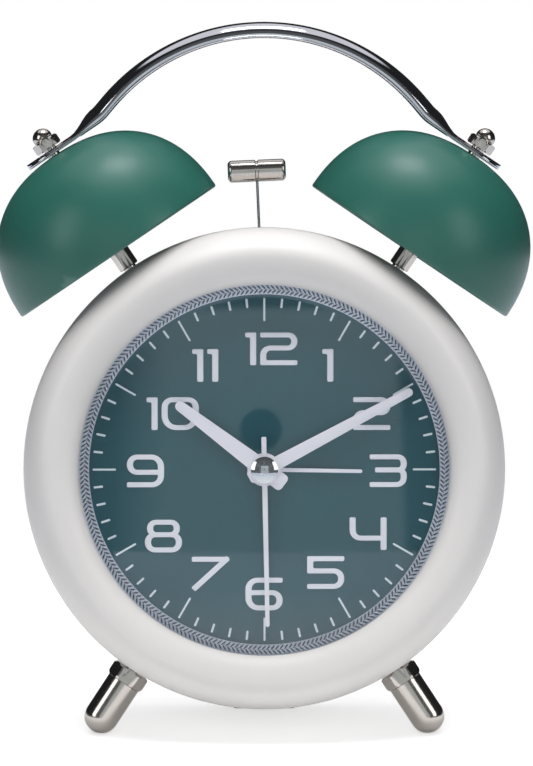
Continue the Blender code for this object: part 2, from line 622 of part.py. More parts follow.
def feet(clock):
    for name, sign in (("left", -1), ("right", 1)):
        axis = empty(f"foot_axis_{name}", clock, (0, FOOT_Y, 0), sign * FOOT_TILT)
        collar = SEAT + FOOT_COLLAR
        foot = [(0, STUD_INNER_END), (STUD_RADIUS, STUD_INNER_END), (STUD_RADIUS, SEAT), (4.4, SEAT, 7.8)]
        foot += [(4.4, collar - 0.9, 7.8), (4.1, collar, 7.8), (FOOT_RADIUS, collar + 0.1)]
        foot += [(r, h) for r, h in arc((0, FOOT_BALL), (FOOT_RADIUS, FOOT_RADIUS), 0, 72, 4)]
        foot += [(0, FOOT_BALL + FOOT_RADIUS)]
        add(f"foot_{name}", turned(foot, 18, "Z"), axis, "chrome", 25)
        ring = [(STUD_HOLE, 49.3), (3.18, 49.3, 5.5), (3.18, 51.4, 5.5), (STUD_HOLE, 51.4)]
        add(f"foot_nut_{name}", turned(ring, 12, "Z"), axis, "brass", 25)


def handle_stations():
    """Left half of the handle, as (x, z, slope in degrees, half width, crown), from the tab's end up to the
    top. The point is on the strip's lower edge."""
    slope = radians(BELL_TILT)
    start = (-TAB_AT * sin(slope), TAB_AT * cos(slope))
    flank = radians(HANDLE_FLANK)
    touch = (-HANDLE_ARC * sin(flank), HANDLE_ARC_Z + HANDLE_ARC * cos(flank))
    across = (touch[0] - start[0]) * sin(flank) - (touch[1] - start[1]) * cos(flank)
    reach = across / (cos(slope) * sin(flank) - sin(slope) * cos(flank))
    bend = (start[0] + reach * cos(slope), start[1] + reach * sin(slope))
    corner = STRIP_HALF_WIDTH - TAB_OUTER
    stations = []
    for s in (-TAB_OUTER, -6.1, -4.8, corner, 5.4, 7.0, 8.6, reach - 0.8):
        width = STRIP_HALF_WIDTH
        if s < corner:
            width = max(1.2, sqrt(max(0.0, width**2 - (s - corner) ** 2)))
        rise = min(1.0, max(0.0, (s - 5.4) / (reach - 6.2)))
        crown = CROWN * rise * rise * (3 - 2 * rise)
        stations.append((start[0] + s * cos(slope), start[1] + s * sin(slope), BELL_TILT, width, crown))
    length = hypot(touch[0] - bend[0], touch[1] - bend[1])
    for s in (0.8, length / 2):
        x, z = bend[0] + s * cos(flank), bend[1] + s * sin(flank)
        stations.append((x, z, HANDLE_FLANK, STRIP_HALF_WIDTH, CROWN))
    for k in range(7):
        angle = HANDLE_FLANK * (1 - k / 6)
        x, z = -HANDLE_ARC * sin(radians(angle)), HANDLE_ARC_Z + HANDLE_ARC * cos(radians(angle))
        stations.append((x, z, angle, STRIP_HALF_WIDTH, CROWN))
    return stations


def handle(clock):
    left = handle_stations()
    stations = left + [(-x, z, -slope, width, crown) for x, z, slope, width, crown in reversed(left[:-1])]
    points, faces, across = [], [], 6
    for x, z, slope, width, crown in stations:
        up = (-sin(radians(slope)), cos(radians(slope)))
        curve = [(2 * k / across - 1) for k in range(across + 1)]
        section = [(width * c, crown * (1 - abs(c) ** 2.4) + STRIP_THICKNESS) for c in curve]
        section += [(width * c, crown * (1 - abs(c) ** 2.4)) for c in reversed(curve)]
        points += [(x + up[0] * n, y, z + up[1] * n) for y, n in section]
    size = 2 * (across + 1)
    for k in range(len(stations) - 1):
        a, b = k * size, (k + 1) * size
        faces += [[a + c, a + (c + 1) % size, b + (c + 1) % size, b + c] for c in range(size)]
    for first in (0, (len(stations) - 1) * size):
        last = first + size - 1
        faces += [[first + c, first + c + 1, last - 1 - c, last - c] for c in range(across)]
    strip = add("handle", (points, faces), clock, "chrome", 40)
    for name, sign in (("left", -1), ("right", 1)):
        drill(strip, f"tab_hole_{name}", clock, sign * BELL_TILT, 0, TAB_AT - 3, TAB_AT + 4)


def striker(clock, bodies):
    lever = [(1.6, 7.5), (-1.6, 7.5)]
    lever += [(3.0 * cos(radians(a)), 3.0 * sin(radians(a))) for a in range(150, 211, 15)]
    lever += [(-2.2, -7.0), (-2.2, -12.6), (-0.9, -12.6), (-0.9, -8.0)]
    lever += [(0.9, -8.0), (0.9, -12.6), (2.2, -12.6), (2.2, -7.0)]
    lever += [(3.0 * cos(radians(a)), 3.0 * sin(radians(a))) for a in range(-30, 31, 15)]
    add("hammer_lever", layered([(lever, 0.0, 1.0)], [circle(1.3, 12)]), bodies["hammer"], "steel")
    head_low = HEAD_AT - HEAD_RADIUS
    wire_axis = empty("wire_axis", bodies["hammer"], (0, WIRE_Y, 0))
    wire = [(0, 2.0), (WIRE_RADIUS, 2.0), (WIRE_RADIUS, head_low + 1.6), (0, head_low + 1.6)]
    add("hammer_wire", turned(wire, 8, "Z"), wire_axis, "steel")
    half = [(0, HEAD_HALF), (1.5, HEAD_HALF), (2.1, HEAD_HALF - 0.3), (HEAD_RADIUS, HEAD_HALF - 1.1)]
    half += [(HEAD_RADIUS, 0.3), (HEAD_RADIUS - 0.3, 0.15)]
    head_axis = empty("head_axis", bodies["hammer"], (0, WIRE_Y, HEAD_AT))
    profile = half + [(r, -x) for r, x in reversed(half)]
    head = add("hammer_head", turned(profile, 16, "X"), head_axis, "chrome")
    wide = WIRE_RADIUS + GAP
    bore = [(0, head_low - 1), (wide, head_low - 1), (wide, head_low + 1.9), (0, head_low + 1.9)]
    boolean(head, add("wire_bore", turned(bore, 10, "Z"), wire_axis, "steel"))
    plate = rounded(-13.0, 19.0, 2.4, 33.0, 2.5)
    pivot = (0, PIVOT_Z)
    layers = [(circle(1.0, 12, pivot), -0.4, 1.3), (circle(1.8, 12, pivot), 1.3, PLATE[0]), (plate, *PLATE)]
    bracket = add("striker_plate", layered(layers), clock, "steel")
    motor_x = 20 * CRANK_MODULE
    window = layered([(circle(2.0, 16, (motor_x, CRANK_Z)), PLATE[0] - 1, PLATE[1] + 1)])
    boolean(bracket, add("motor_window", window, clock, "steel"))
    pin = [(0, 0.9), (1.0, 0.9), (1.0, PLATE[0] + 0.4), (0, PLATE[0] + 0.4)]
    crank_axis = empty("crank_pin_axis", clock, (0, 0, CRANK_Z))
    boolean(bracket, add("crank_arbor", turned(pin, 12), crank_axis, "steel"), "UNION")
    layers = [(circle(0.6, 10, (0, 2.0)), 0.3, 1.6), (circle(6.0, 24), 1.6, 1.7)]
    layers += [(gear(30, CRANK_MODULE), 1.7, 3.2)]
    wheel = add("crank_gear", layered(layers), bodies["crank"], "gear_plastic")
    hub = turned([(0, 0.2), (1.3, 0.2), (1.3, 3.6), (0, 3.6)], 12)
    boolean(wheel, add("crank_bore", hub, bodies["crank"], "gear_plastic"))
    motor = [(0, 5.3), (1.6, 5.3), (1.6, 5.6), (6.0, 5.6), (6.0, 16.0), (0, 16.0)]
    motor_axis = empty("motor_axis", clock, (motor_x, 0, CRANK_Z))
    add("striker_motor", turned(motor, 16), motor_axis, "steel")
    pinion = [(gear(10, CRANK_MODULE, meshing(10, 30, 0.0)), 1.6, 3.4), (circle(0.8, 10), 3.4, 5.0)]
    add("motor_pinion", layered(pinion), bodies["pinion"], "brass")


def ground_angle():
    """Lean that sets the feet and the rear pad on one plane."""
    across, down = PAD_BACK - FOOT_Y, PAD_LOW + FOOT_BALL * cos(radians(180 - FOOT_TILT))
    return asin(FOOT_RADIUS / hypot(across, down)) + atan2(down, across)


def ground_depth(lean):
    """Height of the dial axis' origin over the ground."""
    return FOOT_Y * sin(lean) + FOOT_BALL * cos(radians(180 - FOOT_TILT)) * cos(lean) + FOOT_RADIUS


def rear_pad(clock, lean):
    """A rubber pad that follows the case above, with its lower face on the ground."""
    spans = [PAD_HALF * (2 * k / 6 - 1) for k in range(7)]
    upper = [(x, -sqrt(PAD_SEAT_RADIUS**2 - x**2)) for x in spans]
    depth = ground_depth(lean)
    points = []
    for y in (PAD_FRONT, PAD_BACK):
        ground = (y * sin(lean) - depth) / cos(lean)
        points += [(x, y, z) for x, z in upper] + [(x, y, ground) for x in reversed(spans)]
    size = len(points) // 2
    faces = [[k, (k + 1) % size, size + (k + 1) % size, size + k] for k in range(size)]
    for first in (0, size):
        faces += [[first + k, first + k + 1, first + size - 2 - k, first + size - 1 - k] for k in range(6)]
    add("rear_pad", (points, faces), clock, "rubber")


def centre_on_base(clock):
    """Moves the clock so that the middle of its bounding box stands over the origin."""
    bpy.context.view_layer.update()
    graph = bpy.context.evaluated_depsgraph_get()
    corners = []
    for obj in bpy.data.objects:
        if obj.type == "MESH" and not obj.hide_render:
            solid = obj.evaluated_get(graph)
            corners += [solid.matrix_world @ vertex.co for vertex in solid.data.vertices]
    for axis in (0, 1):
        values = [corner[axis] for corner in corners]
        clock.location[axis] -= (min(values) + max(values)) / 2


def main():
    clear_scene()
    lean = ground_angle()
    clock = empty("clock")
    clock.rotation_euler = (-lean, 0, 0)
    clock.location = (0, 0, ground_depth(lean) * MM)
    axes = {
        "hour": (0, 0, 0),
        "minute": (0, 0, 0),
        "second": (0, 0, 0),
        "alarm": (0, 0, 0),
        "third": (0, 0, THIRD_Z),
        "motion": (ARBOR_X, 0, 0),
        "setting": (-ARBOR_X, 0, 0),
        "crank": (0, 0, CRANK_Z),
        "pinion": (20 * CRANK_MODULE, 0, CRANK_Z),
        "door": (0, COVER[1], POCKET_LOW - 0.7),
        "switch": (SWITCH_X, 0, SWITCH_Z),
        "button": (BUTTON_X, 0, BUTTON_Z),
    }
    bodies = {name: empty(f"{name}_axis", clock, place) for name, place in axes.items()}
    bodies["hammer"] = empty("hammer_axis", clock, (0, 0, PIVOT_Z), HAMMER_REST)
    case_shell(clock)
    lens(clock)
    dial_group(clock)
    hands(bodies)
    wheels(bodies)
    movement(clock)
    rear_group(clock, bodies)
    bells(clock)
    feet(clock)
    handle(clock)
    striker(clock, bodies)
    rear_pad(clock, lean)
    centre_on_base(clock)


main()
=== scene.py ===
"""Looks of the twin-bell alarm clock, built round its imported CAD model.

Shapes are in millimetres in the clock's own frame: the dial axis is Y, the front faces -Y, the bells and the
handle stand in the plane y = 0 and Z points to twelve. CLOCK turns that frame into the model's metres.
"""

import json
from math import asin, cos, hypot, pi, radians, sin, sqrt

import bmesh
import bpy
from mathutils import Matrix, Vector
from mathutils.geometry import tessellate_polygon


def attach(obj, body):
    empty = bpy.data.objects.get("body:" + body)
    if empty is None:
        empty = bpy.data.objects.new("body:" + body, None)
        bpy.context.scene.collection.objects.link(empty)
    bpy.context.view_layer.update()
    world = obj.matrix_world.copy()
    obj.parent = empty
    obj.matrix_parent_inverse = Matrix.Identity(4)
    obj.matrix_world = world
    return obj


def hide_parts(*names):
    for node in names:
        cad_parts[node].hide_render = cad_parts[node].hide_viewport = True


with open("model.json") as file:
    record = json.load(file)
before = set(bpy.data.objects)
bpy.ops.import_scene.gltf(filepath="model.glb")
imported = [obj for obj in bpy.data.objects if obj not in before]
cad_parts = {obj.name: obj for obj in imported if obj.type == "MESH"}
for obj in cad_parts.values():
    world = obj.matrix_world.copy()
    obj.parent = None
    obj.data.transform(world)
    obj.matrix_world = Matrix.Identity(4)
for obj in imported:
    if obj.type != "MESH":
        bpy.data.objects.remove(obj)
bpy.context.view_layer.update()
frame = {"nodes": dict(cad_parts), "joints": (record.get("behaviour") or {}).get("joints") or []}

MM = 0.001

# case, lens, ring and dial
CASE_RADIUS = 54.0
CASE_WALL = 2.0
CASE_SIDE_FRONT = -13.0
CASE_SIDE_BACK = 4.0
CASE_FRONT = -26.0
CASE_BACK = 20.0
CASE_TAPER = 1.6
CREST_RADIUS = 47.6
OPENING_RADIUS = 41.4
OPENING_Y = -21.6
LIP = 0.7
LENS_RADIUS = 44.2
LENS_SAG = 3.8
LENS_FRONT = -20.6
LENS_THICKNESS = 1.0
LENS_EDGE_GAP = 0.5
RING_FRONT = -19.3
RING_BACK = -17.3
RING_INNER = 39.2
KNURL_TURNS = 250
KNURL_STEPS = 6
KNURL_ROWS = 12
KNURL_LEAN = 0.7
KNURL_DEPTH = 0.3
# how deep a face must sit in a groove, as a share of the knurl's depth, to get the painted groove shade
KNURL_PAINTED_SHADE = 0.12
DIAL_FRONT = -17.0
DIAL_BACK = -16.4
DIAL_HOLE = 3.0
TICK_RADIUS = 38.4
HOUR_TICK = (5.2, 0.45)
MINUTE_TICK = (2.1, 0.5)
PRINT_HEIGHT = 0.08
PRINT_GAP = 0.01

# numerals
DIGIT_WIDTH = 8.34
DIGIT_HEIGHT = 7.33
ONE_WIDTH = 2.5
DIGIT_SPACE = 0.86
STROKE = (1.4, 1.12)
STROKE_CORNER = 0.32
NUMERAL_HEIGHT = 0.28
STROKE_STEP = 0.02
NUMERALS = {
    "12": (1.55, 27.0),
    "1": (14.2, 23.3),
    "2": (24.0, 12.5),
    "3": (27.7, -0.3),
    "4": (23.2, -14.4),
    "5": (13.7, -23.1),
    "6": (-0.1, -27.9),
    "7": (-12.1, -23.2),
    "8": (-22.6, -14.9),
    "9": (-26.6, -0.3),
    "10": (-20.5, 12.5),
    "11": (-13.2, 23.3),
}

# hands, as (length, width at the hub, width at the tip, length and width of the tail, hub radius)
HOUR_HAND = (24.7, 3.8, 2.3, 5.6, 3.9, 3.7)
MINUTE_HAND = (37.5, 3.0, 1.9, 3.9, 3.0, 3.4)
ALARM_HAND = (21.9, 0.9, 0.8, 3.8, 1.4, 3.7)
SECOND_HAND = (35.1, 1.2, 0.95, 7.4, 1.1, 2.4)

# planes of the hands, as (front face, back face), and their angles clockwise from twelve
SECOND_PLANE = (-20.0, -19.6)
MINUTE_PLANE = (-19.3, -18.9)
HOUR_PLANE = (-18.6, -18.2)
ALARM_PLANE = (-17.9, -17.6)
HOUR_ANGLE = -52.9
MINUTE_ANGLE = 61.8
SECOND_ANGLE = 178.9
ALARM_ANGLE = 91.0

# hub cap
CAP_RADIUS = 3.03
CAP_EDGE = 30.0
CAP_WALL = 1.0

# bells, posts, nuts and handle
BELL_TILT = 34.0
BELL_RIM_AT = 58.5
BELL_RADIUS = 26.5
BELL_HEIGHT = 26.2
BELL_WALL = 1.0
BELL_POWER = 2.3
STUD_RADIUS = 1.5
STUD_HOLE = 1.8
STUD_INNER_END = 48.6
HOLE_SPAN = (46.0, 58.0)
SEAT = 54.35
POST_FLATS = 4.0
POST_CORNER = 2.31
POST_TOP = 82.0
GAP = 0.3
STRIP_THICKNESS = 1.3
STRIP_HALF_WIDTH = 5.0
TAB_AT = 85.0
TAB_OUTER = 6.4
NUT_AT = TAB_AT + STRIP_THICKNESS + GAP
NUT_FLATS = 5.5
NUT_CORNER = 3.18
NUT_HEX_HEIGHT = 2.3
NUT_DOME = 2.3
NUT_DOME_AT = 2.7
NUT_BORE_DEPTH = 3.6
STUD_IN_NUT = 3.2
HANDLE_ARC = 44.1
HANDLE_ARC_Z = 52.7
HANDLE_FLANK = 50.0
HANDLE_BEND = 1.5
CROWN = 2.3

# hammer
PIVOT_Z = 28.0
HAMMER_REST = -2.4
HEAD_AT = 38.8
HEAD_HALF = 6.55
HEAD_RADIUS = 2.5
WIRE_RADIUS = 0.3
WIRE_Y = -0.6
WIRE_BORE_DEPTH = 1.9
HEAD_ROUND = 0.95
SLOT_EDGES = (-4.8, 5.6)
SLOT_HALF = 1.6

# feet and rear pad
FOOT_TILT = 180 - 33.25
FOOT_Y = -9.0
FOOT_RADIUS = 3.875
FOOT_BALL = 66.85
FOOT_COLLAR = 3.2
FOOT_FLATS = 7.8

# rear cover and controls
COVER = (17.3, 19.5)
COVER_RADIUS = 50.0
POCKET_X = 29.4
POCKET_LOW = -37.8
POCKET_HIGH = -8.6
POCKET_FRONT = 2.8
POCKET_WALL = 1.4
DOOR_LEDGE = 17.9
ARBOR_X = 12.0
ARBOR_RADIUS = 1.2
ARBOR_BACK = 25.0
BOSS_RING = 45.4
BOSS_ANGLES = (30, 150, 270)
KNOB = (20.0, 28.0)
KNOB_NECK_END = 22.6
KNOB_NECK_RADIUS = 2.6
KNOB_RADIUS = 5.6
KNOB_RIBS = 24
SWITCH_X = -26.0
SWITCH_Z = 24.0
BUTTON_X = 24.0
BUTTON_Z = 24.0
BUTTON_HOLE = 4.1
BUTTON_RADIUS = 3.8
BUTTON_FLANGE = 5.0
CELL_HALF = 25.0
CELL_RADIUS = 7.1
CELL_EDGE = 7.25
CELL_Y = 10.3

# camera, floor and what the clock mirrors
CAMERA_AT = (-5.7, -1508.0, 67.0)
CAMERA_AIM = (0.52, -8.0, 19.06)
CAMERA_LENS = 313.6
FLOOR_RADIUS = 600.0
FLOOR_FADE = (0.09, 0.24)
ROOM_DEPTHS = (-0.7, -0.4)
ROOM_TONES = ((0.11, 0.115, 0.12, 1.0), (0.02, 0.02, 0.022, 1.0))
WALL_EDGES = (-0.335, 0.306)
WALL_BOTTOM = 0.2
WALL_TOP = 0.477
WALL_TONES = ((0.56, 0.61, 0.62, 1.0), (0.76, 0.83, 0.86, 1.0))
SPOT_EDGES = (2.8, 2.4)
SPOT_TONE = (0.02, 0.02, 0.02, 1.0)
CEILING_SLOPE = 0.35
CEILING_EDGES = (0.84, 0.88)
CEILING_TONE = (0.9, 0.9, 0.93, 1.0)
WHITE = (1.0, 1.0, 1.0, 1.0)


def clock_frame():
    """The clock's frame in the model: the minute hand's joint points back along the dial axis."""
    joint = next(j for j in frame["joints"] if j["name"] == "minute_hand_turn")
    back = Vector(joint["axis"]).normalized()
    across = Vector((1, 0, 0))
    turn = Matrix((across, back, across.cross(back))).transposed().to_4x4()
    return Matrix.Translation(joint["pos_m"]) @ turn @ Matrix.Scale(MM, 4)


CLOCK = clock_frame()


# ---- materials ----


def srgb(*levels):
    """Linear colour of three 0-255 levels."""
    shares = [level / 255 for level in levels]
    return tuple(s / 12.92 if s <= 0.04045 else ((s + 0.055) / 1.055) ** 2.4 for s in shares)


def shade(colour, factor):
    return (*[min(1.0, channel * factor) for channel in colour], 1.0)


class Nodes:
    """A short way to add and join the nodes of one tree."""

    def __init__(self, tree):
        self.tree = tree
        tree.nodes.clear()

    def add(self, kind, inputs=None, **settings):
        node = self.tree.nodes.new("ShaderNode" + kind)
        for name, value in settings.items():
            setattr(node, name, value)
        for name, value in (inputs or {}).items():
            self.put(node.inputs[name], value)
        return node

    def put(self, socket, value):
        if isinstance(value, bpy.types.NodeSocket):
            self.tree.links.new(value, socket)
        else:
            socket.default_value = value

    def span(self, value, low, high, to_low=0.0, to_high=1.0):
        """The value from low..high turned into to_low..to_high, held at both ends."""
        inputs = {"Value": value, "From Min": low, "From Max": high, "To Min": to_low, "To Max": to_high}
        return self.add("MapRange", inputs).outputs["Result"]

    def mix(self, share, a, b):
        node = self.add("Mix", data_type="RGBA")
        for socket, value in zip((node.inputs[0], node.inputs[6], node.inputs[7]), (share, a, b)):
            self.put(socket, value)
        return node.outputs[2]


def material(name):
    """A new material and its empty node tree."""
    made = bpy.data.materials.new(name)
    made.use_nodes = True
    return made, Nodes(made.node_tree)


def finish(name, colour, roughness, metallic=0.0, coat=0.0, cloud=60.0, grain=2500.0, shift=0.05, bump=0.006,
           rough_shift=0.05, worn=None, wear=0.5, stretch=(1, 1, 1)):
    """A surface whose colour drifts over clouds, whose gloss and height vary over a fine grain, and whose
    edges are rubbed to the worn colour. Scales are features per metre, and bump is in millimetres."""
    made, nodes = material(name)
    made.diffuse_color = (*colour, 1.0)
    place = nodes.add("TexCoord").outputs["Object"]
    stretched = nodes.add("Mapping", {"Vector": place, "Scale": stretch}).outputs["Vector"]
    clouds = nodes.add("TexNoise", {"Vector": place, "Scale": cloud, "Detail": 4.0}).outputs["Fac"]
    fine = nodes.add("TexNoise", {"Vector": stretched, "Scale": grain, "Detail": 3.0}).outputs["Fac"]
    base = nodes.mix(nodes.span(clouds, 0.35, 0.65), shade(colour, 1 - shift), shade(colour, 1 + shift))
    edge = nodes.add("NewGeometry").outputs["Pointiness"]
    rubbed = nodes.add("Math", {0: nodes.span(edge, 0.52, 0.62, 0.0, wear), 1: clouds}, operation="MULTIPLY")
    base = nodes.mix(rubbed.outputs[0], base, (*(worn or shade(colour, 1.3)[:3]), 1.0))
    gloss = nodes.span(fine, 0.3, 0.7, max(0.02, roughness - rough_shift), roughness + rough_shift)
    height = nodes.add("Bump", {"Height": fine, "Strength": 1.0, "Distance": bump * MM}).outputs["Normal"]
    inputs = {
        "Base Color": base,
        "Roughness": gloss,
        "Normal": height,
        "Metallic": metallic,
        "Coat Weight": coat,
        "Coat Roughness": 0.15,
    }
    shader = nodes.add("BsdfPrincipled", inputs)
    nodes.add("OutputMaterial", {"Surface": shader.outputs["BSDF"]})
    return made


def clear_finish():
    """Clear acrylic: it lets light straight through, mirrors by its angle, and has faint smears."""
    made, nodes = material("clear_acrylic")
    place = nodes.add("TexCoord").outputs["Object"]
    smear = nodes.add("TexNoise", {"Vector": place, "Scale": 90.0, "Detail": 3.0}).outputs["Fac"]
    gloss = nodes.span(smear, 0.3, 0.7, 0.02, 0.05)
    facing = nodes.add("LayerWeight", {"Blend": 0.5}).outputs["Facing"]
    facing = nodes.add("Math", {0: facing, 1: 5.0}, operation="POWER").outputs[0]
    facing = nodes.span(facing, 0.0, 1.0, 0.045, 1.0)
    glossy = nodes.add("BsdfGlossy", {"Roughness": gloss}).outputs["BSDF"]
    through = nodes.add("BsdfTransparent", {"Color": (0.97, 0.98, 0.98, 1.0)}).outputs["BSDF"]
    joined = nodes.add("MixShader", {0: facing, 1: through, 2: glossy})
    nodes.add("OutputMaterial", {"Surface": joined.outputs["Shader"]})
    return made


FINISHES = {
    "case_paint": finish("pearl_paint", srgb(216, 213, 211), 0.42, shift=0.015, bump=0.002),
    "bell_paint": finish("green_satin_paint", srgb(38, 95, 84), 0.4, coat=0.05, shift=0.04, bump=0.003,
                         worn=srgb(120, 150, 142)),
    "clear_lens": clear_finish(),
    "silver_ring": finish("silver_ring", srgb(204, 208, 224), 0.3, metallic=0.4, shift=0.06),
    # dark colour painted on the knurl's groove faces: painted shade and painted dark reflection, not the
    # ring's own colour
    "groove_painted_shade": finish("groove_painted_shade", srgb(44, 62, 72), 0.35, metallic=0.4, shift=0.1),
    "dial_print": finish("dial_print", srgb(20, 78, 90), 0.5, shift=0.04, bump=0.002),
    "numeral_print": finish("numeral_print", srgb(246, 243, 255), 0.45, shift=0.03, bump=0.002),
    "tick_print": finish("tick_print", srgb(228, 240, 248), 0.5, shift=0.03, bump=0.002),
    "hand_paint": finish("hand_paint", srgb(248, 243, 255), 0.4, shift=0.03, bump=0.002),
    "chrome": finish("chrome", srgb(205, 206, 212), 0.07, metallic=1.0, shift=0.03, bump=0.0004,
                     rough_shift=0.03),
    "nickel": finish("nickel", srgb(196, 190, 184), 0.17, metallic=1.0, shift=0.05, bump=0.001),
    "steel": finish("steel", srgb(170, 172, 178), 0.3, metallic=1.0, stretch=(1, 0.1, 1)),
    "brass": finish("brass", srgb(205, 172, 100), 0.3, metallic=1.0),
    "cover_plastic": finish("cover_plastic", srgb(222, 220, 216), 0.5, shift=0.02, bump=0.01),
    "frame_plastic": finish("frame_plastic", srgb(58, 58, 62), 0.55, shift=0.06, bump=0.01),
    "gear_plastic": finish("gear_plastic", srgb(224, 220, 206), 0.5, shift=0.03),
    "board": finish("circuit_board", srgb(44, 112, 74), 0.5, shift=0.1),
    "copper": finish("copper", srgb(206, 126, 84), 0.3, metallic=1.0, stretch=(12, 1, 1)),
    "rubber": finish("rubber", srgb(48, 48, 50), 0.8, shift=0.08, bump=0.02),
    "battery_wrap": finish("battery_wrap", srgb(60, 96, 130), 0.35, coat=0.3),
}

CAD_FINISHES = {
    "steel": ("cover_screw_1", "cover_screw_2", "cover_screw_3", "battery_spring_lower",
              "battery_spring_upper", "stator", "striker_plate", "hammer_lever", "striker_motor"),
    "brass": ("post_nut_left", "post_nut_right", "foot_nut_left", "foot_nut_right", "train_bridge",
              "motor_pinion"),
    "rubber": ("bell_washer_left", "bell_washer_right"),
    "frame_plastic": ("dial_support", "movement_case", "movement_lid"),
    "gear_plastic": ("hour_wheel", "minute_wheel", "second_arbor", "third_wheel", "motion_wheel",
                     "alarm_wheel", "alarm_setting_arbor", "crank_gear"),
    "board": ("circuit_board",),
    "copper": ("coil",),
}


def paint_cad_nodes():
    """CAD pieces that show as they are get the same finishes as the pieces built here."""
    for name, nodes in CAD_FINISHES.items():
        for node in nodes:
            obj = frame["nodes"][node]
            obj.data.materials.clear()
            obj.data.materials.append(FINISHES[name])


# ---- shapes ----


def at(x=0.0, y=0.0, z=0.0, tilt=0.0):
    """Place in the clock's frame, turned about Y by tilt, clockwise from the front."""
    return Matrix.Translation((x, y, z)) @ Matrix.Rotation(radians(tilt), 4, "Y")


def placed(name, data):
    """A new object of that name in the scene."""
    obj = bpy.data.objects.new(name, data)
    bpy.context.collection.objects.link(obj)
    return obj


def solid(name, shape, place=None):
    """A mesh object from (points, faces) with its faces turned outwards."""
    points, faces = shape
    there = CLOCK @ (place or Matrix.Identity(4))
    mesh = bpy.data.meshes.new(name)
    mesh.from_pydata([there @ Vector(p) for p in points], [], faces)
    bm = bmesh.new()
    bm.from_mesh(mesh)
    bmesh.ops.recalc_face_normals(bm, faces=bm.faces)
    bm.to_mesh(mesh)
    bm.free()
    return placed(name, mesh)


def bake(obj):
    """Applies the modifiers of obj to its mesh."""
    graph = bpy.context.evaluated_depsgraph_get()
    obj.data = bpy.data.meshes.new_from_object(obj.evaluated_get(graph))
    obj.modifiers.clear()


def combine(obj, tools, operation="DIFFERENCE"):
    for tool in tools:
        step = obj.modifiers.new(tool.name, "BOOLEAN")
        step.operation = operation
        step.object = tool
        step.solver = "EXACT"
    bake(obj)
    for tool in tools:
        bpy.data.objects.remove(tool, do_unlink=True)


def show(obj, finish_name, nodes=(), body="root", sharp=30.0, bevel=0.0):
    """Finishes a piece: rounds its edges by bevel, gives it its material slot, ties it to its body and hides
    the CAD nodes that it stands for.
    """
    if bevel:
        step = obj.modifiers.new("edges", "BEVEL")
        step.width = bevel * MM
        step.segments = 2
        step.limit_method = "ANGLE"
        step.angle_limit = radians(40)
        bake(obj)
    obj.data.materials.clear()
    obj.data.materials.append(FINISHES[finish_name])
    obj.data.shade_smooth()
    obj.data.set_sharp_from_angle(angle=radians(sharp))
    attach(obj, body)
    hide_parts(*nodes)
    return obj


def joined(shapes):
    """One shape from several, each with its place."""
    points, faces = [], []
    for (more, corners), place in shapes:
        first = len(points)
        points += [tuple(place @ Vector(p)) for p in more]
        faces += [[first + k for k in face] for face in corners]
    return points, faces


def hex_radius(flats, angle):
    """Distance from a hexagon's centre to its side, with corners at 0, 60, 120 ... degrees."""
    return flats / 2 / cos(angle % (pi / 3) - pi / 6)


def turned(profile, steps, axis="Y"):
    """Solid of revolution. A profile point is (radius, height) or (radius, height, flats), where flats cuts
    a hexagon from that ring. A profile that doesn't end on the axis closes on itself."""
    points, rings = [], []
    for radius, height, *flats in profile:
        if radius == 0:
            rings.append([len(points)])
            points.append((0, 0, height))
            continue
        rings.append(range(len(points), len(points) + steps))
        for k in range(steps):
            angle = 2 * pi * k / steps
            reach = min(radius, hex_radius(flats[0], angle)) if flats else radius
            points.append((reach * cos(angle), reach * sin(angle), height))
    if axis == "Y":
        points = [(x, z, y) for x, y, z in points]
    if axis == "X":
        points = [(z, y, x) for x, y, z in points]
    pairs = list(zip(rings, rings[1:]))
    if len(rings[0]) > 1 and len(rings[-1]) > 1:
        pairs.append((rings[-1], rings[0]))
    faces = []
    for a, b in pairs:
        for k in range(steps):
            j = (k + 1) % steps
            corners = [a[k % len(a)], a[j % len(a)], b[j % len(b)], b[k % len(b)]]
            faces.append(list(dict.fromkeys(corners)))
    return points, [f for f in faces if len(f) > 2]


def rod(radius, start, end):
    """Solid round bar along Z, from one height to another."""
    return turned([(0, start), (radius, start), (radius, end), (0, end)], 24, "Z")


def circle(radius, steps, centre=(0.0, 0.0)):
    turns = [2 * pi * k / steps for k in range(steps)]
    return [(centre[0] + radius * cos(t), centre[1] + radius * sin(t)) for t in turns]


def rounded(x0, x1, z0, z1, radius, steps=5):
    corners = [(x1, z1, 0), (x0, z1, 90), (x0, z0, 180), (x1, z0, 270)]
    outline = []
    for x, z, start in corners:
        cx = x - radius if x == x1 else x + radius
        cz = z - radius if z == z1 else z + radius
        for k in range(steps + 1):
            turn = radians(start + 90 * k / steps)
            outline.append((cx + radius * cos(turn), cz + radius * sin(turn)))
    return outline


class Stack:
    """Points and faces of a solid made of flat outlines that lie across the Y axis."""

    def __init__(self):
        self.points = []
        self.faces = []

    def loop(self, outline, y):
        first = len(self.points)
        self.points += [(x, y, z) for x, z in outline]
        return list(range(first, len(self.points)))

    def wall(self, a, b):
        self.faces += [[a[k - 1], a[k], b[k], b[k - 1]] for k in range(len(a))]

    def cap(self, *loops):
        flat = [i for loop in loops for i in loop]
        outlines = [[Vector((self.points[i][0], self.points[i][2], 0)) for i in loop] for loop in loops]
        self.faces += [[flat[k] for k in corner] for corner in tessellate_polygon(outlines)]

    def shape(self):
        return self.points, self.faces


def layered(layers, holes=()):
    """Layers of (outline, front, back) from front to back, with holes through all of them."""
    stack = Stack()
    walls = [(stack.loop(outline, front), stack.loop(outline, back)) for outline, front, back in layers]
    bores = [(stack.loop(h, layers[0][1]), stack.loop(h, layers[-1][2])) for h in holes]
    stack.cap(walls[0][0], *[b[0] for b in bores])
    stack.cap(walls[-1][1], *[b[1] for b in bores])
    for here, behind in zip(walls, walls[1:]):
        stack.cap(here[1], behind[0])
    for front, back in walls + bores:
        stack.wall(front, back)
    return stack.shape()


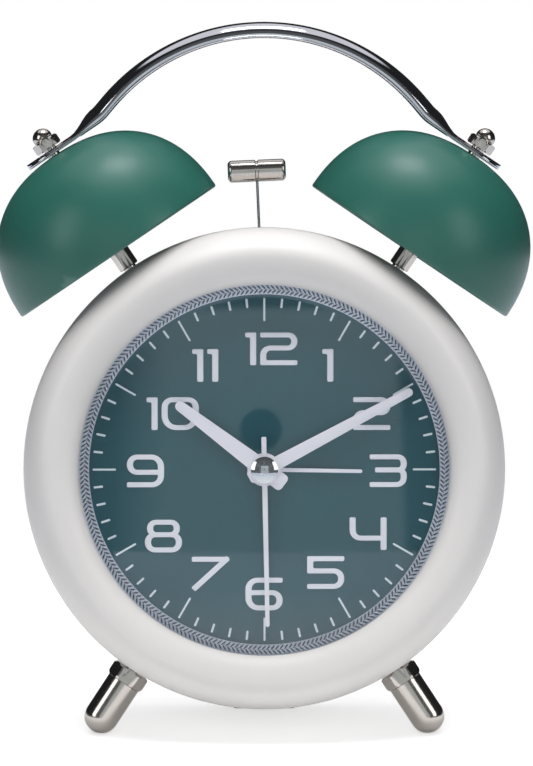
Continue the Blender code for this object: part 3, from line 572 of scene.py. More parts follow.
def arc(centre, size, start, end, steps):
    """Points of an ellipse's arc between two angles in degrees."""
    turns = [radians(start + (end - start) * k / steps) for k in range(steps + 1)]
    return [(centre[0] + size[0] * cos(t), centre[1] + size[1] * sin(t)) for t in turns]


def hand(length, base, tip, tail, tail_width, hub):
    """Outline of a clock hand that points to twelve, with a round hub and rounded ends."""
    steps = 16
    turns = [pi / 2 * k / 6 for k in range(7)]
    side = [(tip / 2 * sin(turn), length - tip / 2 + tip / 2 * cos(turn)) for turn in turns]
    top = asin(base / 2 / hub)
    low = pi - asin(tail_width / 2 / hub)
    turns = [top + (low - top) * k / steps for k in range(steps + 1)]
    side += [(hub * sin(turn), hub * cos(turn)) for turn in turns]
    corner = tail_width / 4
    turns = [pi / 2 * k / 4 for k in range(5)]
    side += [(tail_width / 2 - corner + corner * cos(t), -tail + corner - corner * sin(t)) for t in turns]
    return side + [(-x, z) for x, z in reversed(side) if x > 0]


def turned_clockwise(outline, degrees):
    """An outline turned as a clock's hand turns, seen from the front."""
    c, s = cos(radians(degrees)), sin(radians(degrees))
    return [(x * c + z * s, z * c - x * s) for x, z in outline]


def corner_arc(before, here, after, radius, steps=8):
    """Points that round the corner at here by radius."""
    into, out = (here - before).normalized(), (after - here).normalized()
    bend = into.angle_signed(out)
    if radius == 0 or abs(bend) < radians(1):
        return [here]
    slant = abs(sin(bend / 2) / cos(bend / 2))
    radius = min(radius, 0.48 * min((here - before).length, (after - here).length) / slant)
    start = here - into * radius * slant
    side = Vector((into.y, -into.x)) * (1 if bend > 0 else -1)
    centre = start + side * radius
    return [centre + Matrix.Rotation(-bend * k / steps, 2) @ (start - centre) for k in range(steps + 1)]


def filleted(corners):
    """A path of (x, z, radius) corners with each inner corner rounded by its radius."""
    spots = [Vector(corner[:2]) for corner in corners]
    path = [spots[0]]
    for k in range(1, len(corners) - 1):
        path += corner_arc(spots[k - 1], spots[k], spots[k + 1], corners[k][2])
    return path + [spots[-1]]


def softened(outline, radius, least=50.0):
    """An outline with each corner sharper than least degrees rounded by radius."""
    soft = []
    for k, here in enumerate(outline):
        before, after = outline[k - 1], outline[(k + 1) % len(outline)]
        turn = abs((here - before).angle(after - here))
        soft += corner_arc(before, here, after, radius if turn > radians(least) else 0, 4)
    return soft


def area(outline):
    """Twice the area inside an outline, below zero if it runs clockwise."""
    return sum(outline[k - 1].cross(outline[k]) for k in range(len(outline)))


def inset(outline, depth):
    """An outline moved inwards by depth, or outwards if depth is below zero."""
    count = len(outline)
    inward = depth if area(outline) > 0 else -depth
    moved = []
    for k, here in enumerate(outline):
        into = (here - outline[k - 1]).normalized()
        out = (outline[(k + 1) % count] - here).normalized()
        along = (into + out).normalized()
        moved.append(here + Vector((-along.y, along.x)) * inward / max(0.4, along.dot(into)))
    return moved


def stroke(path, closed):
    """Outlines of a pen stroke along the path: one, or for a closed path its outer and inner edges. The pen
    is wider across an upright line than across a level one."""
    pen = Vector((STROKE[0] / 2, STROKE[1] / 2))
    if not closed:
        for end, inner in ((0, 1), (-1, -2)):
            away = (path[end] - path[inner]).normalized()
            path[end] = path[end] + away * (abs(away.x) * pen.x + abs(away.y) * pen.y)
    count = len(path)
    left, right = [], []
    for k, point in enumerate(path):
        before = path[k - 1] if k or closed else None
        after = path[(k + 1) % count] if k < count - 1 or closed else None
        into = (point - before).normalized() if before else (after - point).normalized()
        out = (after - point).normalized() if after else into
        along = (into + out).normalized()
        normal = Vector((-along.y, along.x)) / max(0.5, along.dot(into))
        offset = Vector((normal.x * pen.x, normal.y * pen.y))
        left.append(point + offset)
        right.append(point - offset)
    if closed:
        return [left, right]
    return [softened(left + right[::-1], STROKE_CORNER)]


# ---- pieces ----


def case_shell():
    """The front cover and side in one drawn shell, with a curled edge round the opening."""
    rounding = (CASE_RADIUS - CREST_RADIUS, CASE_FRONT - CASE_SIDE_FRONT)
    outer = arc((CREST_RADIUS, CASE_SIDE_FRONT), rounding, 0, 90, 22)
    curl = arc((CREST_RADIUS, OPENING_Y), (OPENING_RADIUS - CREST_RADIUS, CASE_FRONT - OPENING_Y), 90, 0, 14)
    depth = CASE_BACK - CASE_SIDE_BACK
    taper = [(CASE_RADIUS - CASE_TAPER * (k / 8) ** 2, CASE_SIDE_BACK + depth * k / 8) for k in range(9)]
    edge = CASE_RADIUS - CASE_TAPER - CASE_WALL
    inside = CASE_RADIUS - CASE_WALL
    lip = OPENING_Y + LIP
    profile = [(edge, CASE_BACK - 0.3), (edge + 0.3, CASE_BACK), (edge + CASE_WALL - 0.5, CASE_BACK)]
    profile += [(edge + CASE_WALL, CASE_BACK - 0.5), *reversed(taper[:-1]), *outer[1:], *curl[1:]]
    profile += [(OPENING_RADIUS, lip - 0.2), (OPENING_RADIUS + 0.2, lip), (LENS_RADIUS + 0.5, lip)]
    profile += [(48.2, -20.6), (51.0, -17.0), (inside, CASE_SIDE_FRONT), (inside, CASE_SIDE_BACK)]
    shell = solid("case_front_and_side", turned(profile, 192))
    hole = rod(STUD_HOLE, *HOLE_SPAN)
    places = [(BELL_TILT, 0), (-BELL_TILT, 0), (FOOT_TILT, FOOT_Y), (-FOOT_TILT, FOOT_Y)]
    tools = [solid(f"hole_{k}", hole, at(y=y, tilt=tilt)) for k, (tilt, y) in enumerate(places)]
    slot = rounded(*SLOT_EDGES, WIRE_Y - SLOT_HALF, WIRE_Y + SLOT_HALF, 1.5)
    upright = Matrix.Translation((0, 0, 52)) @ Matrix.Rotation(-pi / 2, 4, "X")
    tools.append(solid("wire_slot", layered([(slot, -6.0, 6.0)]), upright))
    combine(shell, tools)
    show(shell, "case_paint", ["case_shell"], sharp=35)


def lens():
    """The clear window, domed inside the case's opening, with a flat edge behind the curl."""
    dome = OPENING_RADIUS - LENS_EDGE_GAP
    front = [(dome * k / 16, LENS_FRONT - LENS_SAG * (1 - (k / 16) ** 2)) for k in range(17)]
    back = [(r, y + LENS_THICKNESS) for r, y in front]
    edge = [(LENS_RADIUS, LENS_FRONT), (LENS_RADIUS, LENS_FRONT + LENS_THICKNESS)]
    profile = [*front, *edge, *reversed(back)]
    show(solid("domed_lens", turned(profile, 128)), "clear_lens", ["lens"])


def dial_ring():
    """The silver ring behind the lens: a band knurled in two rows, whose grooves lean opposite ways. The
    faces deep in the grooves are painted dark, as painted shade and reflection.
    """
    steps = KNURL_TURNS * KNURL_STEPS
    band_out, band_in = OPENING_RADIUS - 0.12, RING_INNER + 0.2
    cone = (RING_BACK - 0.4 - RING_FRONT) / (OPENING_RADIUS - RING_INNER)
    points, rings = [], []

    def groove(k, share):
        """How deep the knurl is cut at a step round the ring and a share of the way across the band."""
        row = 2 * share % 1
        lean = row if share < 0.5 else -row
        depth = max(0.0, cos(2 * pi * (k / KNURL_STEPS + KNURL_LEAN * lean)))
        return depth * sin(pi * row)

    def ring(radius, y, share=None):
        rings.append(range(len(points), len(points) + steps))
        for k in range(steps):
            angle = 2 * pi * k / steps
            sink = 0.0 if share is None else KNURL_DEPTH * groove(k, share)
            points.append((radius * cos(angle), y + sink, radius * sin(angle)))

    ring(LENS_RADIUS, RING_BACK)
    ring(LENS_RADIUS, RING_FRONT)
    ring(OPENING_RADIUS + 0.2, RING_FRONT)
    first_row = len(rings)
    for row in range(KNURL_ROWS + 1):
        share = row / KNURL_ROWS
        radius = band_out + (band_in - band_out) * share
        ring(radius, RING_FRONT + cone * (OPENING_RADIUS - radius), share)
    ring(RING_INNER, RING_BACK - 0.5)
    ring(RING_INNER, RING_BACK)
    faces, dark = [], []
    for row, (a, b) in enumerate(zip(rings, rings[1:] + rings[:1])):
        share = (row - first_row + 0.5) / KNURL_ROWS
        for k in range(steps):
            faces.append([a[k - 1], a[k], b[k], b[k - 1]])
            # faces deep in a groove take the painted shade and reflection
            dark.append(0 < share < 1 and groove(k - 0.5, share) > KNURL_PAINTED_SHADE)
    made = solid("coiled_ring", (points, faces))
    show(made, "silver_ring", ["dial_ring"], sharp=60)
    # second slot: the painted shade and reflection of the grooves
    made.data.materials.append(FINISHES["groove_painted_shade"])
    for polygon, is_painted_shade in zip(made.data.polygons, dark):
        polygon.material_index = int(is_painted_shade)


# strokes of each digit, as (corners, closed), in shares of its width and height, with each corner's radius
GLYPHS = {
    "0": [([(0.5, 1, 0), (1, 1, 2.6), (1, 0, 2.6), (0, 0, 2.6), (0, 1, 2.6), (0.5, 1, 0)], True)],
    "1": [([(0, 1, 0), (1, 1, 0), (1, 0, 0)], False)],
    "2": [([(0, 1, 0), (1, 1, 2.0), (1, 0.53, 2.0), (0, 0.53, 1.8), (0, 0, 0), (1, 0, 0)], False)],
    "3": [([(0, 1, 0), (1, 1, 1.9), (1, 0.53, 1.2), (0.17, 0.53, 0)], False),
          ([(0.5, 0.53, 0), (1, 0.53, 1.2), (1, 0, 2.0), (0, 0, 0)], False)],
    "4": [([(0, 1, 0), (0, 0.34, 1.8), (1, 0.34, 0)], False), ([(1, 1, 0), (1, 0, 0)], False)],
    "5": [([(1, 1, 0), (0, 1, 0), (0, 0.56, 0), (1, 0.56, 2.0), (1, 0, 2.0), (0, 0, 0)], False)],
    "6": [([(1, 1, 0), (0, 1, 2.0), (0, 0, 2.2), (1, 0, 2.0), (1, 0.55, 1.8), (0.35, 0.55, 0)], False),
          ([(0.6, 0.55, 0), (0.12, 0.55, 0)], False)],
    "7": [([(0, 1, 0), (1, 1, 0)], False), ([(0.98, 0.96, 0), (0.04, 0, 0)], False)],
    "8": [([(0.5, 1, 0), (0.93, 1, 1.6), (0.93, 0.55, 1.4), (0.07, 0.55, 1.4), (0.07, 1, 1.6),
            (0.5, 1, 0)], True),
          ([(0.5, 0.55, 0), (1, 0.55, 1.8), (1, 0, 2.0), (0, 0, 2.0), (0, 0.55, 1.8), (0.5, 0.55, 0)], True)],
    "9": [([(0, 0, 0), (1, 0, 2.0), (1, 1, 2.2), (0, 1, 2.0), (0, 0.45, 1.8), (0.65, 0.45, 0)], False),
          ([(0.4, 0.45, 0), (0.88, 0.45, 0)], False)],
}


def glyph(digit, left, middle):
    """Outlines of each stroke of one digit, with its left edge and the height of its middle given."""
    width = (ONE_WIDTH if digit == "1" else DIGIT_WIDTH) - STROKE[0]
    height = DIGIT_HEIGHT - STROKE[1]
    low = middle - height / 2
    start = left + STROKE[0] / 2
    strokes = []
    for corners, closed in GLYPHS[digit]:
        path = filleted([(start + x * width, low + z * height, r) for x, z, r in corners])
        strokes.append(stroke(path[:-1] if closed else path, closed))
    return strokes


def raised(outlines, front, back, slope=0.14):
    """A low plateau with sloping edges, standing on the dial. A second outline is a hole in the first."""
    stack = Stack()
    sides = []
    for outline, way in zip(outlines, (1, -1)):
        if way * area(outline) * area(outlines[0]) < 0:
            outline = outline[::-1]
        sides.append([stack.loop(outline, back), stack.loop(outline, front + slope),
                      stack.loop(inset(outline, slope * way), front)])
    for low, edge, top in sides:
        stack.wall(low, edge)
        stack.wall(edge, top)
    stack.cap(*[side[0] for side in sides])
    stack.cap(*[side[2] for side in sides])
    return stack.shape()


def numerals():
    """Twelve raised numerals in one piece of print. Each later stroke of a digit is a little lower, so that
    no two strokes have their tops in one plane where they cross."""
    shapes = []
    for text, (x, z) in NUMERALS.items():
        widths = [ONE_WIDTH if digit == "1" else DIGIT_WIDTH for digit in text]
        left = x - (sum(widths) + DIGIT_SPACE * (len(text) - 1)) / 2
        for digit, width in zip(text, widths):
            for k, outlines in enumerate(glyph(digit, left, z)):
                top = DIAL_FRONT - NUMERAL_HEIGHT + k * STROKE_STEP
                shapes.append((raised(outlines, top, DIAL_FRONT - PRINT_GAP), Matrix.Identity(4)))
            left += width + DIGIT_SPACE
    show(solid("numerals", joined(shapes)), "numeral_print", sharp=25)


def ticks():
    """Sixty printed bars, longer and thinner at the hours."""
    shapes = []
    for minute in range(60):
        length, width = MINUTE_TICK if minute % 5 else HOUR_TICK
        bar = rounded(-width / 2, width / 2, TICK_RADIUS - length, TICK_RADIUS, width / 2.5, 3)
        bar = layered([(bar, DIAL_FRONT - PRINT_HEIGHT, DIAL_FRONT - PRINT_GAP)])
        shapes.append((bar, Matrix.Rotation(radians(6 * minute), 4, "Y")))
    show(solid("minute_ticks", joined(shapes)), "tick_print")


def dial():
    plate = [(circle(LENS_RADIUS, 96), DIAL_FRONT, DIAL_BACK)]
    show(solid("dial_disc", layered(plate, [circle(DIAL_HOLE, 32)])), "dial_print", ["dial_plate"])
    numerals()
    ticks()
    dial_ring()


def hands():
    """Four hands, each with the radius of its bore, and the cap over them."""
    shapes = {
        "hour": (HOUR_HAND, HOUR_ANGLE, HOUR_PLANE, 1.8),
        "minute": (MINUTE_HAND, MINUTE_ANGLE, MINUTE_PLANE, 1.2),
        "alarm": (ALARM_HAND, ALARM_ANGLE, ALARM_PLANE, 2.4),
        "second": (SECOND_HAND, SECOND_ANGLE, SECOND_PLANE, 0.6),
    }
    for name, (sizes, angle, plane, bore) in shapes.items():
        outline = turned_clockwise(hand(*sizes), angle)
        made = solid(f"{name}_pointer", layered([(outline, *plane)], [circle(bore, 24)]))
        show(made, "hand_paint", [f"{name}_hand"], f"{name}_train", bevel=0.09)
    hub_cap()


def hub_cap():
    """The domed cap in front of the second hand, hollowed for the arbor's end."""
    back = SECOND_PLANE[0] - GAP
    bulge = CAP_RADIUS / sin(radians(CAP_EDGE))
    centre = back - CAP_WALL + bulge * cos(radians(CAP_EDGE))
    turns = [radians(CAP_EDGE * k / 10) for k in range(11)]
    dome = [(bulge * sin(turn), centre - bulge * cos(turn)) for turn in turns]
    profile = [*dome, (CAP_RADIUS, back), (0.6, back), (0.6, back - 0.8), (0, back - 0.8)]
    show(solid("hub_cap", turned(profile, 48)), "chrome", ["centre_cap"], "second_train", sharp=50)


def bell_profile():
    """Outer face from the hole at the top down to the rim, the rounded rim, then the inner face back up."""
    outer, inner, steps = [], [], 40
    for k in range(steps + 1):
        share = (STUD_HOLE / BELL_RADIUS) if k == 0 else sin(pi / 2 * k / steps)
        if share < STUD_HOLE / BELL_RADIUS:
            continue
        height = (1 - share**BELL_POWER) ** (1 / BELL_POWER)
        outer.append((BELL_RADIUS * share, BELL_HEIGHT * height))
        inner.append(((BELL_RADIUS - BELL_WALL) * share, (BELL_HEIGHT - BELL_WALL) * height))
    outer[-1] = (BELL_RADIUS, 0.5)
    inner[-1] = (BELL_RADIUS - BELL_WALL, 0.5)
    inner[0] = (STUD_HOLE, inner[0][1])
    rim = arc((BELL_RADIUS - BELL_WALL / 2, 0.5), (BELL_WALL / 2, 0.5), 0, -180, 6)
    return outer[:-1] + rim + inner[-2::-1]


def bell_post():
    """Hexagonal post with a stud at each end, one through the case and one through bell, handle and nut."""
    chamfer = 0.25
    post = [(0, STUD_INNER_END), (STUD_RADIUS, STUD_INNER_END), (STUD_RADIUS, SEAT), (2.0, SEAT, POST_FLATS)]
    post += [(POST_CORNER, SEAT + chamfer, POST_FLATS), (POST_CORNER, POST_TOP - chamfer, POST_FLATS)]
    post += [(2.0, POST_TOP, POST_FLATS), (STUD_RADIUS, POST_TOP), (STUD_RADIUS, NUT_AT + STUD_IN_NUT)]
    return turned([*post, (0, NUT_AT + STUD_IN_NUT)], 48, "Z")


def acorn_nut():
    """Hexagonal nut with a round dome, closed over the stud's end."""
    turns = [radians(9 * k) for k in range(1, 11)]
    nut = [(0, NUT_DOME_AT + NUT_DOME)]
    nut += [(NUT_DOME * sin(turn), NUT_DOME_AT + NUT_DOME * cos(turn)) for turn in turns]
    nut += [(2.15, NUT_HEX_HEIGHT + 0.05), (2.3, NUT_HEX_HEIGHT), (2.75, NUT_HEX_HEIGHT)]
    nut += [(NUT_CORNER, 1.95, NUT_FLATS), (NUT_CORNER, 0.3, NUT_FLATS), (2.85, 0), (STUD_HOLE, 0)]
    nut += [(STUD_HOLE, NUT_BORE_DEPTH), (0, NUT_BORE_DEPTH)]
    return turned([(r, h + NUT_AT, *flats) for r, h, *flats in nut], 72, "Z")


def bells():
    """On each side a bell, the post that it hangs on and the nut over it."""
    for name, sign in (("left", -1), ("right", 1)):
        place = at(tilt=sign * BELL_TILT)
        profile = [(r, h + BELL_RIM_AT) for r, h in bell_profile()]
        bell = solid(f"{name}_bell_cup", turned(profile, 128, "Z"), place)
        show(bell, "bell_paint", [f"bell_{name}"], sharp=50)
        post = solid(f"{name}_bell_post", bell_post(), place)
        show(post, "nickel", [f"bell_post_{name}"], sharp=20)
        nut = solid(f"{name}_acorn_nut", acorn_nut(), place)
        show(nut, "nickel", [f"acorn_nut_{name}"], sharp=25)


def feet():
    """Round legs with a hexagonal collar against the case and a ball end."""
    for name, sign in (("left", -1), ("right", 1)):
        place = at(y=FOOT_Y, tilt=sign * FOOT_TILT)
        collar = SEAT + FOOT_COLLAR
        foot = [(0, STUD_INNER_END), (STUD_RADIUS, STUD_INNER_END), (STUD_RADIUS, SEAT), (3.9, SEAT)]
        foot += [(4.4, SEAT + 0.35, FOOT_FLATS), (4.4, collar - 0.55, FOOT_FLATS), (4.1, collar, FOOT_FLATS)]
        foot += [(3.8, collar + 0.08)]
        foot += [(FOOT_RADIUS, collar + 0.2), *arc((0, FOOT_BALL), (FOOT_RADIUS, FOOT_RADIUS), 0, 84, 14)]
        foot += [(0, FOOT_BALL + FOOT_RADIUS)]
        made = solid(f"{name}_foot_leg", turned(foot, 96, "Z"), place)
        show(made, "nickel", [f"foot_{name}"], sharp=22)


def handle_stations():
    """Left half of the handle, as (x, z, slope in degrees, half width, crown), from the tab's end up to the
    top. The point is on the strip's lower edge."""
    slope = radians(BELL_TILT)
    start = (-TAB_AT * sin(slope), TAB_AT * cos(slope))
    flank = radians(HANDLE_FLANK)
    touch = (-HANDLE_ARC * sin(flank), HANDLE_ARC_Z + HANDLE_ARC * cos(flank))
    across = (touch[0] - start[0]) * sin(flank) - (touch[1] - start[1]) * cos(flank)
    reach = across / (cos(slope) * sin(flank) - sin(slope) * cos(flank))
    bend = (start[0] + reach * cos(slope), start[1] + reach * sin(slope))
    corner = STRIP_HALF_WIDTH - TAB_OUTER
    stations = []
    ends = [-TAB_OUTER + (corner + TAB_OUTER) * (1 - cos(pi / 2 * k / 8)) for k in range(9)]
    for s in ends + [corner + (reach - HANDLE_BEND - corner) * k / 12 for k in range(1, 13)]:
        width = STRIP_HALF_WIDTH
        if s < corner:
            width = max(0.6, sqrt(max(0.0, width**2 - (s - corner) ** 2)))
        rise = min(1.0, max(0.0, (s - 5.4) / (reach - 6.2)))
        crown = CROWN * rise * rise * (3 - 2 * rise)
        stations.append((start[0] + s * cos(slope), start[1] + s * sin(slope), BELL_TILT, width, crown))
    for k in range(1, 6):
        share = k / 6
        turn = BELL_TILT + (HANDLE_FLANK - BELL_TILT) * share
        before, after = HANDLE_BEND * (1 - share) ** 2, HANDLE_BEND * share**2
        x = bend[0] - before * cos(slope) + after * cos(flank)
        z = bend[1] - before * sin(slope) + after * sin(flank)
        stations.append((x, z, turn, STRIP_HALF_WIDTH, CROWN))
    length = hypot(touch[0] - bend[0], touch[1] - bend[1])
    for k in range(5):
        s = HANDLE_BEND + (length - HANDLE_BEND) * k / 5
        x, z = bend[0] + s * cos(flank), bend[1] + s * sin(flank)
        stations.append((x, z, HANDLE_FLANK, STRIP_HALF_WIDTH, CROWN))
    for k in range(33):
        angle = HANDLE_FLANK * (1 - k / 32)
        x, z = -HANDLE_ARC * sin(radians(angle)), HANDLE_ARC_Z + HANDLE_ARC * cos(radians(angle))
        stations.append((x, z, angle, STRIP_HALF_WIDTH, CROWN))
    return stations


def handle_section(width, crown):
    """Section of the handle, as (y, height over its lower edge): a strip pressed up by crown in its middle,
    which rounds over to thin edges at width to both sides."""
    across, edge = 24, 4
    low, nose = STRIP_THICKNESS * 0.4, STRIP_THICKNESS * 0.2
    flat = width - nose
    rise = crown + STRIP_THICKNESS - low
    spread = [sin(pi / 2 * (2 * k / across - 1)) for k in range(across + 1)]
    bulge = [pi / 2 - pi * k / edge for k in range(1, edge)]
    section = [(flat * c, low + rise * (1 - abs(c) ** 2.2) ** 0.45) for c in spread]
    section += [(flat + nose * cos(t), low / 2 + low / 2 * sin(t)) for t in bulge]
    section += [(flat * c, crown * (1 - abs(c) ** 2.4)) for c in reversed(spread)]
    return section + [(-flat - nose * cos(t), low / 2 + low / 2 * sin(t)) for t in reversed(bulge)]


def handle():
    """A pressed strip, rounded over across its width, with a drilled tab at each end."""
    left = handle_stations()
    stations = left + [(-x, z, -slope, width, crown) for x, z, slope, width, crown in reversed(left[:-1])]
    points, faces = [], []
    for x, z, slope, width, crown in stations:
        up = (-sin(radians(slope)), cos(radians(slope)))
        points += [(x + up[0] * n, y, z + up[1] * n) for y, n in handle_section(width, crown)]
    size = len(points) // len(stations)
    for k in range(len(stations) - 1):
        a, b = k * size, (k + 1) * size
        faces += [[a + c, a + (c + 1) % size, b + (c + 1) % size, b + c] for c in range(size)]
    faces += [list(range(size)), [(len(stations) - 1) * size + c for c in range(size)]]
    strip = solid("carry_handle", (points, faces))
    bore = rod(STUD_HOLE, TAB_AT - 3, TAB_AT + 4)
    combine(strip, [solid(f"bore_{sign}", bore, at(tilt=sign * BELL_TILT)) for sign in (-1, 1)])
    show(strip, "chrome", ["handle"], sharp=50)


def hammer():
    """The striker: a thin rod and a grooved barrel drilled for it."""
    arm = at(z=PIVOT_Z, tilt=HAMMER_REST)
    low = HEAD_AT - HEAD_RADIUS
    made = solid("hammer_rod", rod(WIRE_RADIUS, 2.0, low + 1.6), arm @ at(y=WIRE_Y))
    show(made, "steel", ["hammer_wire"], "hammer")
    half = [(0, HEAD_HALF)]
    half += arc((HEAD_RADIUS - HEAD_ROUND, HEAD_HALF - HEAD_ROUND), (HEAD_ROUND, HEAD_ROUND), 90, 0, 6)
    half += [(HEAD_RADIUS, 0.42), (HEAD_RADIUS - 0.1, 0.3), (HEAD_RADIUS - 0.3, 0.22)]
    profile = half + [(r, -x) for r, x in reversed(half)]
    head = solid("hammer_barrel", turned(profile, 64, "X"), arm @ at(y=WIRE_Y, z=HEAD_AT))
    bore = rod(WIRE_RADIUS + GAP, low - 1, low + WIRE_BORE_DEPTH)
    combine(head, [solid("wire_bore", bore, arm @ at(y=WIRE_Y))])
    show(head, "nickel", ["hammer_head"], "hammer", sharp=30)


def rear_cover():
    """The back with its battery pocket, bevelled rim and holes for controls and screws."""
    box = rounded(-POCKET_X - POCKET_WALL, POCKET_X + POCKET_WALL, POCKET_LOW - POCKET_WALL,
                  POCKET_HIGH + POCKET_WALL, 1.5)
    holes = [circle(ARBOR_RADIUS + 0.6, 24, (x, 0)) for x in (-ARBOR_X, ARBOR_X)]
    turns = [radians(angle) for angle in BOSS_ANGLES]
    holes += [circle(STUD_HOLE, 24, (BOSS_RING * cos(turn), BOSS_RING * sin(turn))) for turn in turns]
    holes.append(circle(BUTTON_HOLE, 32, (BUTTON_X, BUTTON_Z)))
    holes.append(rounded(SWITCH_X - 1.6, SWITCH_X + 5.6, SWITCH_Z - 1.4, SWITCH_Z + 1.4, 0.6))
    ledge = rounded(-POCKET_X - 1.0, POCKET_X + 1.0, POCKET_LOW - 1.0, POCKET_HIGH + 1.0, 0.6)
    cavity = rounded(-POCKET_X, POCKET_X, POCKET_LOW, POCKET_HIGH, 0.6)
    stack = Stack()
    rim = circle(COVER_RADIUS, 144)
    outer = stack.loop(rim, COVER[0]), stack.loop(rim, COVER[1] - 0.4)
    bevel = stack.loop(circle(COVER_RADIUS - 0.4, 144), COVER[1])
    pocket = stack.loop(box, POCKET_FRONT - POCKET_WALL), stack.loop(box, COVER[0])
    recess = stack.loop(ledge, DOOR_LEDGE), stack.loop(ledge, COVER[1])
    room = stack.loop(cavity, POCKET_FRONT), stack.loop(cavity, DOOR_LEDGE)
    bores = [(stack.loop(h, COVER[0]), stack.loop(h, COVER[1])) for h in holes]
    stack.cap(outer[0], pocket[1], *[b[0] for b in bores])
    stack.cap(bevel, recess[1], *[b[1] for b in bores])
    stack.cap(pocket[0])
    stack.cap(room[0])
    stack.cap(recess[0], room[1])
    stack.wall(outer[1], bevel)
    for a, b in [outer, pocket, recess, room, *bores]:
        stack.wall(a, b)
    show(solid("back_plate", stack.shape()), "cover_plastic", ["rear_cover"], sharp=25)


def battery_door():
    """The door with its finger ribs, hinged along its lower edge."""
    half, height = POCKET_X + 0.7, POCKET_HIGH - POCKET_LOW + 1.4
    low = POCKET_LOW - 0.7
    plate = layered([(rounded(-half, half, low, low + height, 0.5), DOOR_LEDGE + GAP, COVER[1] - 0.02)])
    door = solid("battery_hatch", plate)
    grooves = []
    for k in range(5):
        z = low + height - 2.6 - 1.3 * k
        groove = rounded(-6.0, 6.0, z - 0.35, z + 0.35, 0.3)
        grooves.append(solid(f"groove_{k}", layered([(groove, COVER[1] - 0.4, COVER[1] + 1.0)])))
    combine(door, grooves)
    show(door, "cover_plastic", ["battery_door"], "door", sharp=25, bevel=0.08)


def knob():
    """A knob with a ribbed rim and a blind hole for its arbor."""
    steps = KNOB_RIBS * 6
    ribbed = [(KNOB_RADIUS - 0.25 * (1 - abs(sin(pi * k / 6))), 2 * pi * k / steps) for k in range(steps)]
    rim = [(r * cos(t), r * sin(t)) for r, t in ribbed]
    chamfer = [(a * 0.9, b * 0.9) for a, b in rim]
    throat, bore = circle(KNOB_NECK_RADIUS, steps), circle(ARBOR_RADIUS + GAP, steps)
    stack = Stack()
    face = stack.loop(chamfer, KNOB[1])
    edge = stack.loop(rim, KNOB[1] - 0.6), stack.loop(rim, KNOB_NECK_END)
    neck = stack.loop(throat, KNOB_NECK_END - 0.2), stack.loop(throat, KNOB[0])
    hole = stack.loop(bore, KNOB[0]), stack.loop(bore, ARBOR_BACK + GAP)
    stack.cap(face)
    for a, b in ((face, edge[0]), edge, (edge[1], neck[0]), neck, (neck[1], hole[0]), hole):
        stack.wall(a, b)
    stack.cap(hole[1])
    return stack.shape()


def knobs():
    for task, x in (("time", ARBOR_X), ("alarm", -ARBOR_X)):
        made = solid(f"{task}_setting_knob", knob(), at(x=x))
        show(made, "cover_plastic", [f"{task}_set_knob"], f"{task}_setting", sharp=25)


def switch():
    """The alarm's slider: a flange inside the cover, a neck through its slot and a notched thumb piece."""
    layers = [(rounded(-3.4, 3.4, -2.4, 2.4, 0.3), 15.4, 17.0)]
    layers += [(rounded(-1.2, 1.2, -1.1, 1.1, 0.2), 17.0, 19.8)]
    layers += [(rounded(-2.2, 2.2, -1.7, 1.7, 0.4), 19.8, 21.6)]
    slider = solid("alarm_slider", layered(layers), at(x=SWITCH_X, z=SWITCH_Z))
    notches = []
    for k in (-1, 0, 1):
        notch = layered([(rounded(k - 0.2, k + 0.2, -2.5, 2.5, 0.1, 2), 21.3, 22.0)])
        notches.append(solid(f"notch_{k}", notch, at(x=SWITCH_X, z=SWITCH_Z)))
    combine(slider, notches)
    show(slider, "frame_plastic", ["alarm_switch"], "switch", sharp=25)


def button():
    """The light's button, with a rounded edge and a flange inside the cover."""
    rounding = arc((BUTTON_RADIUS - 0.5, 21.7), (0.5, 0.5), 90, 0, 6)
    profile = [(0, 22.2), *rounding, (BUTTON_RADIUS, 17.0), (BUTTON_FLANGE, 17.0), (BUTTON_FLANGE, 15.6)]
    made = solid("backlight_button", turned([*profile, (0, 15.6)], 64), at(x=BUTTON_X, z=BUTTON_Z))
    show(made, "frame_plastic", ["light_button"], "button", sharp=35)


def batteries():
    """Two cells, end for end."""
    half, radius = CELL_HALF, CELL_RADIUS
    cell = [(0, -half), (radius - 0.6, -half), (radius, -half + 0.6), (radius, half - 1.6)]
    cell += [(radius - 0.6, half - 1.0), (2.8, half - 1.0), (2.8, half - 0.2), (2.6, half), (0, half)]
    for name, sign, z in (("lower", -1, POCKET_LOW + CELL_EDGE), ("upper", 1, POCKET_HIGH - CELL_EDGE)):
        profile = [(r, sign * x) for r, x in cell]
        made = solid(f"{name}_cell", turned(profile, 64, "X"), at(y=CELL_Y, z=z))
        show(made, "battery_wrap", [f"battery_{name}"], sharp=30)


def pad():
    """The rubber rest at the back keeps its CAD shape with its edges rounded."""
    obj = placed("rear_rest_pad", frame["nodes"]["rear_pad"].data.copy())
    bm = bmesh.new()
    bm.from_mesh(obj.data)
    bmesh.ops.remove_doubles(bm, verts=bm.verts, dist=1e-6)
    bm.to_mesh(obj.data)
    bm.free()
    show(obj, "rubber", ["rear_pad"], sharp=30, bevel=0.3)


# ---- studio ----


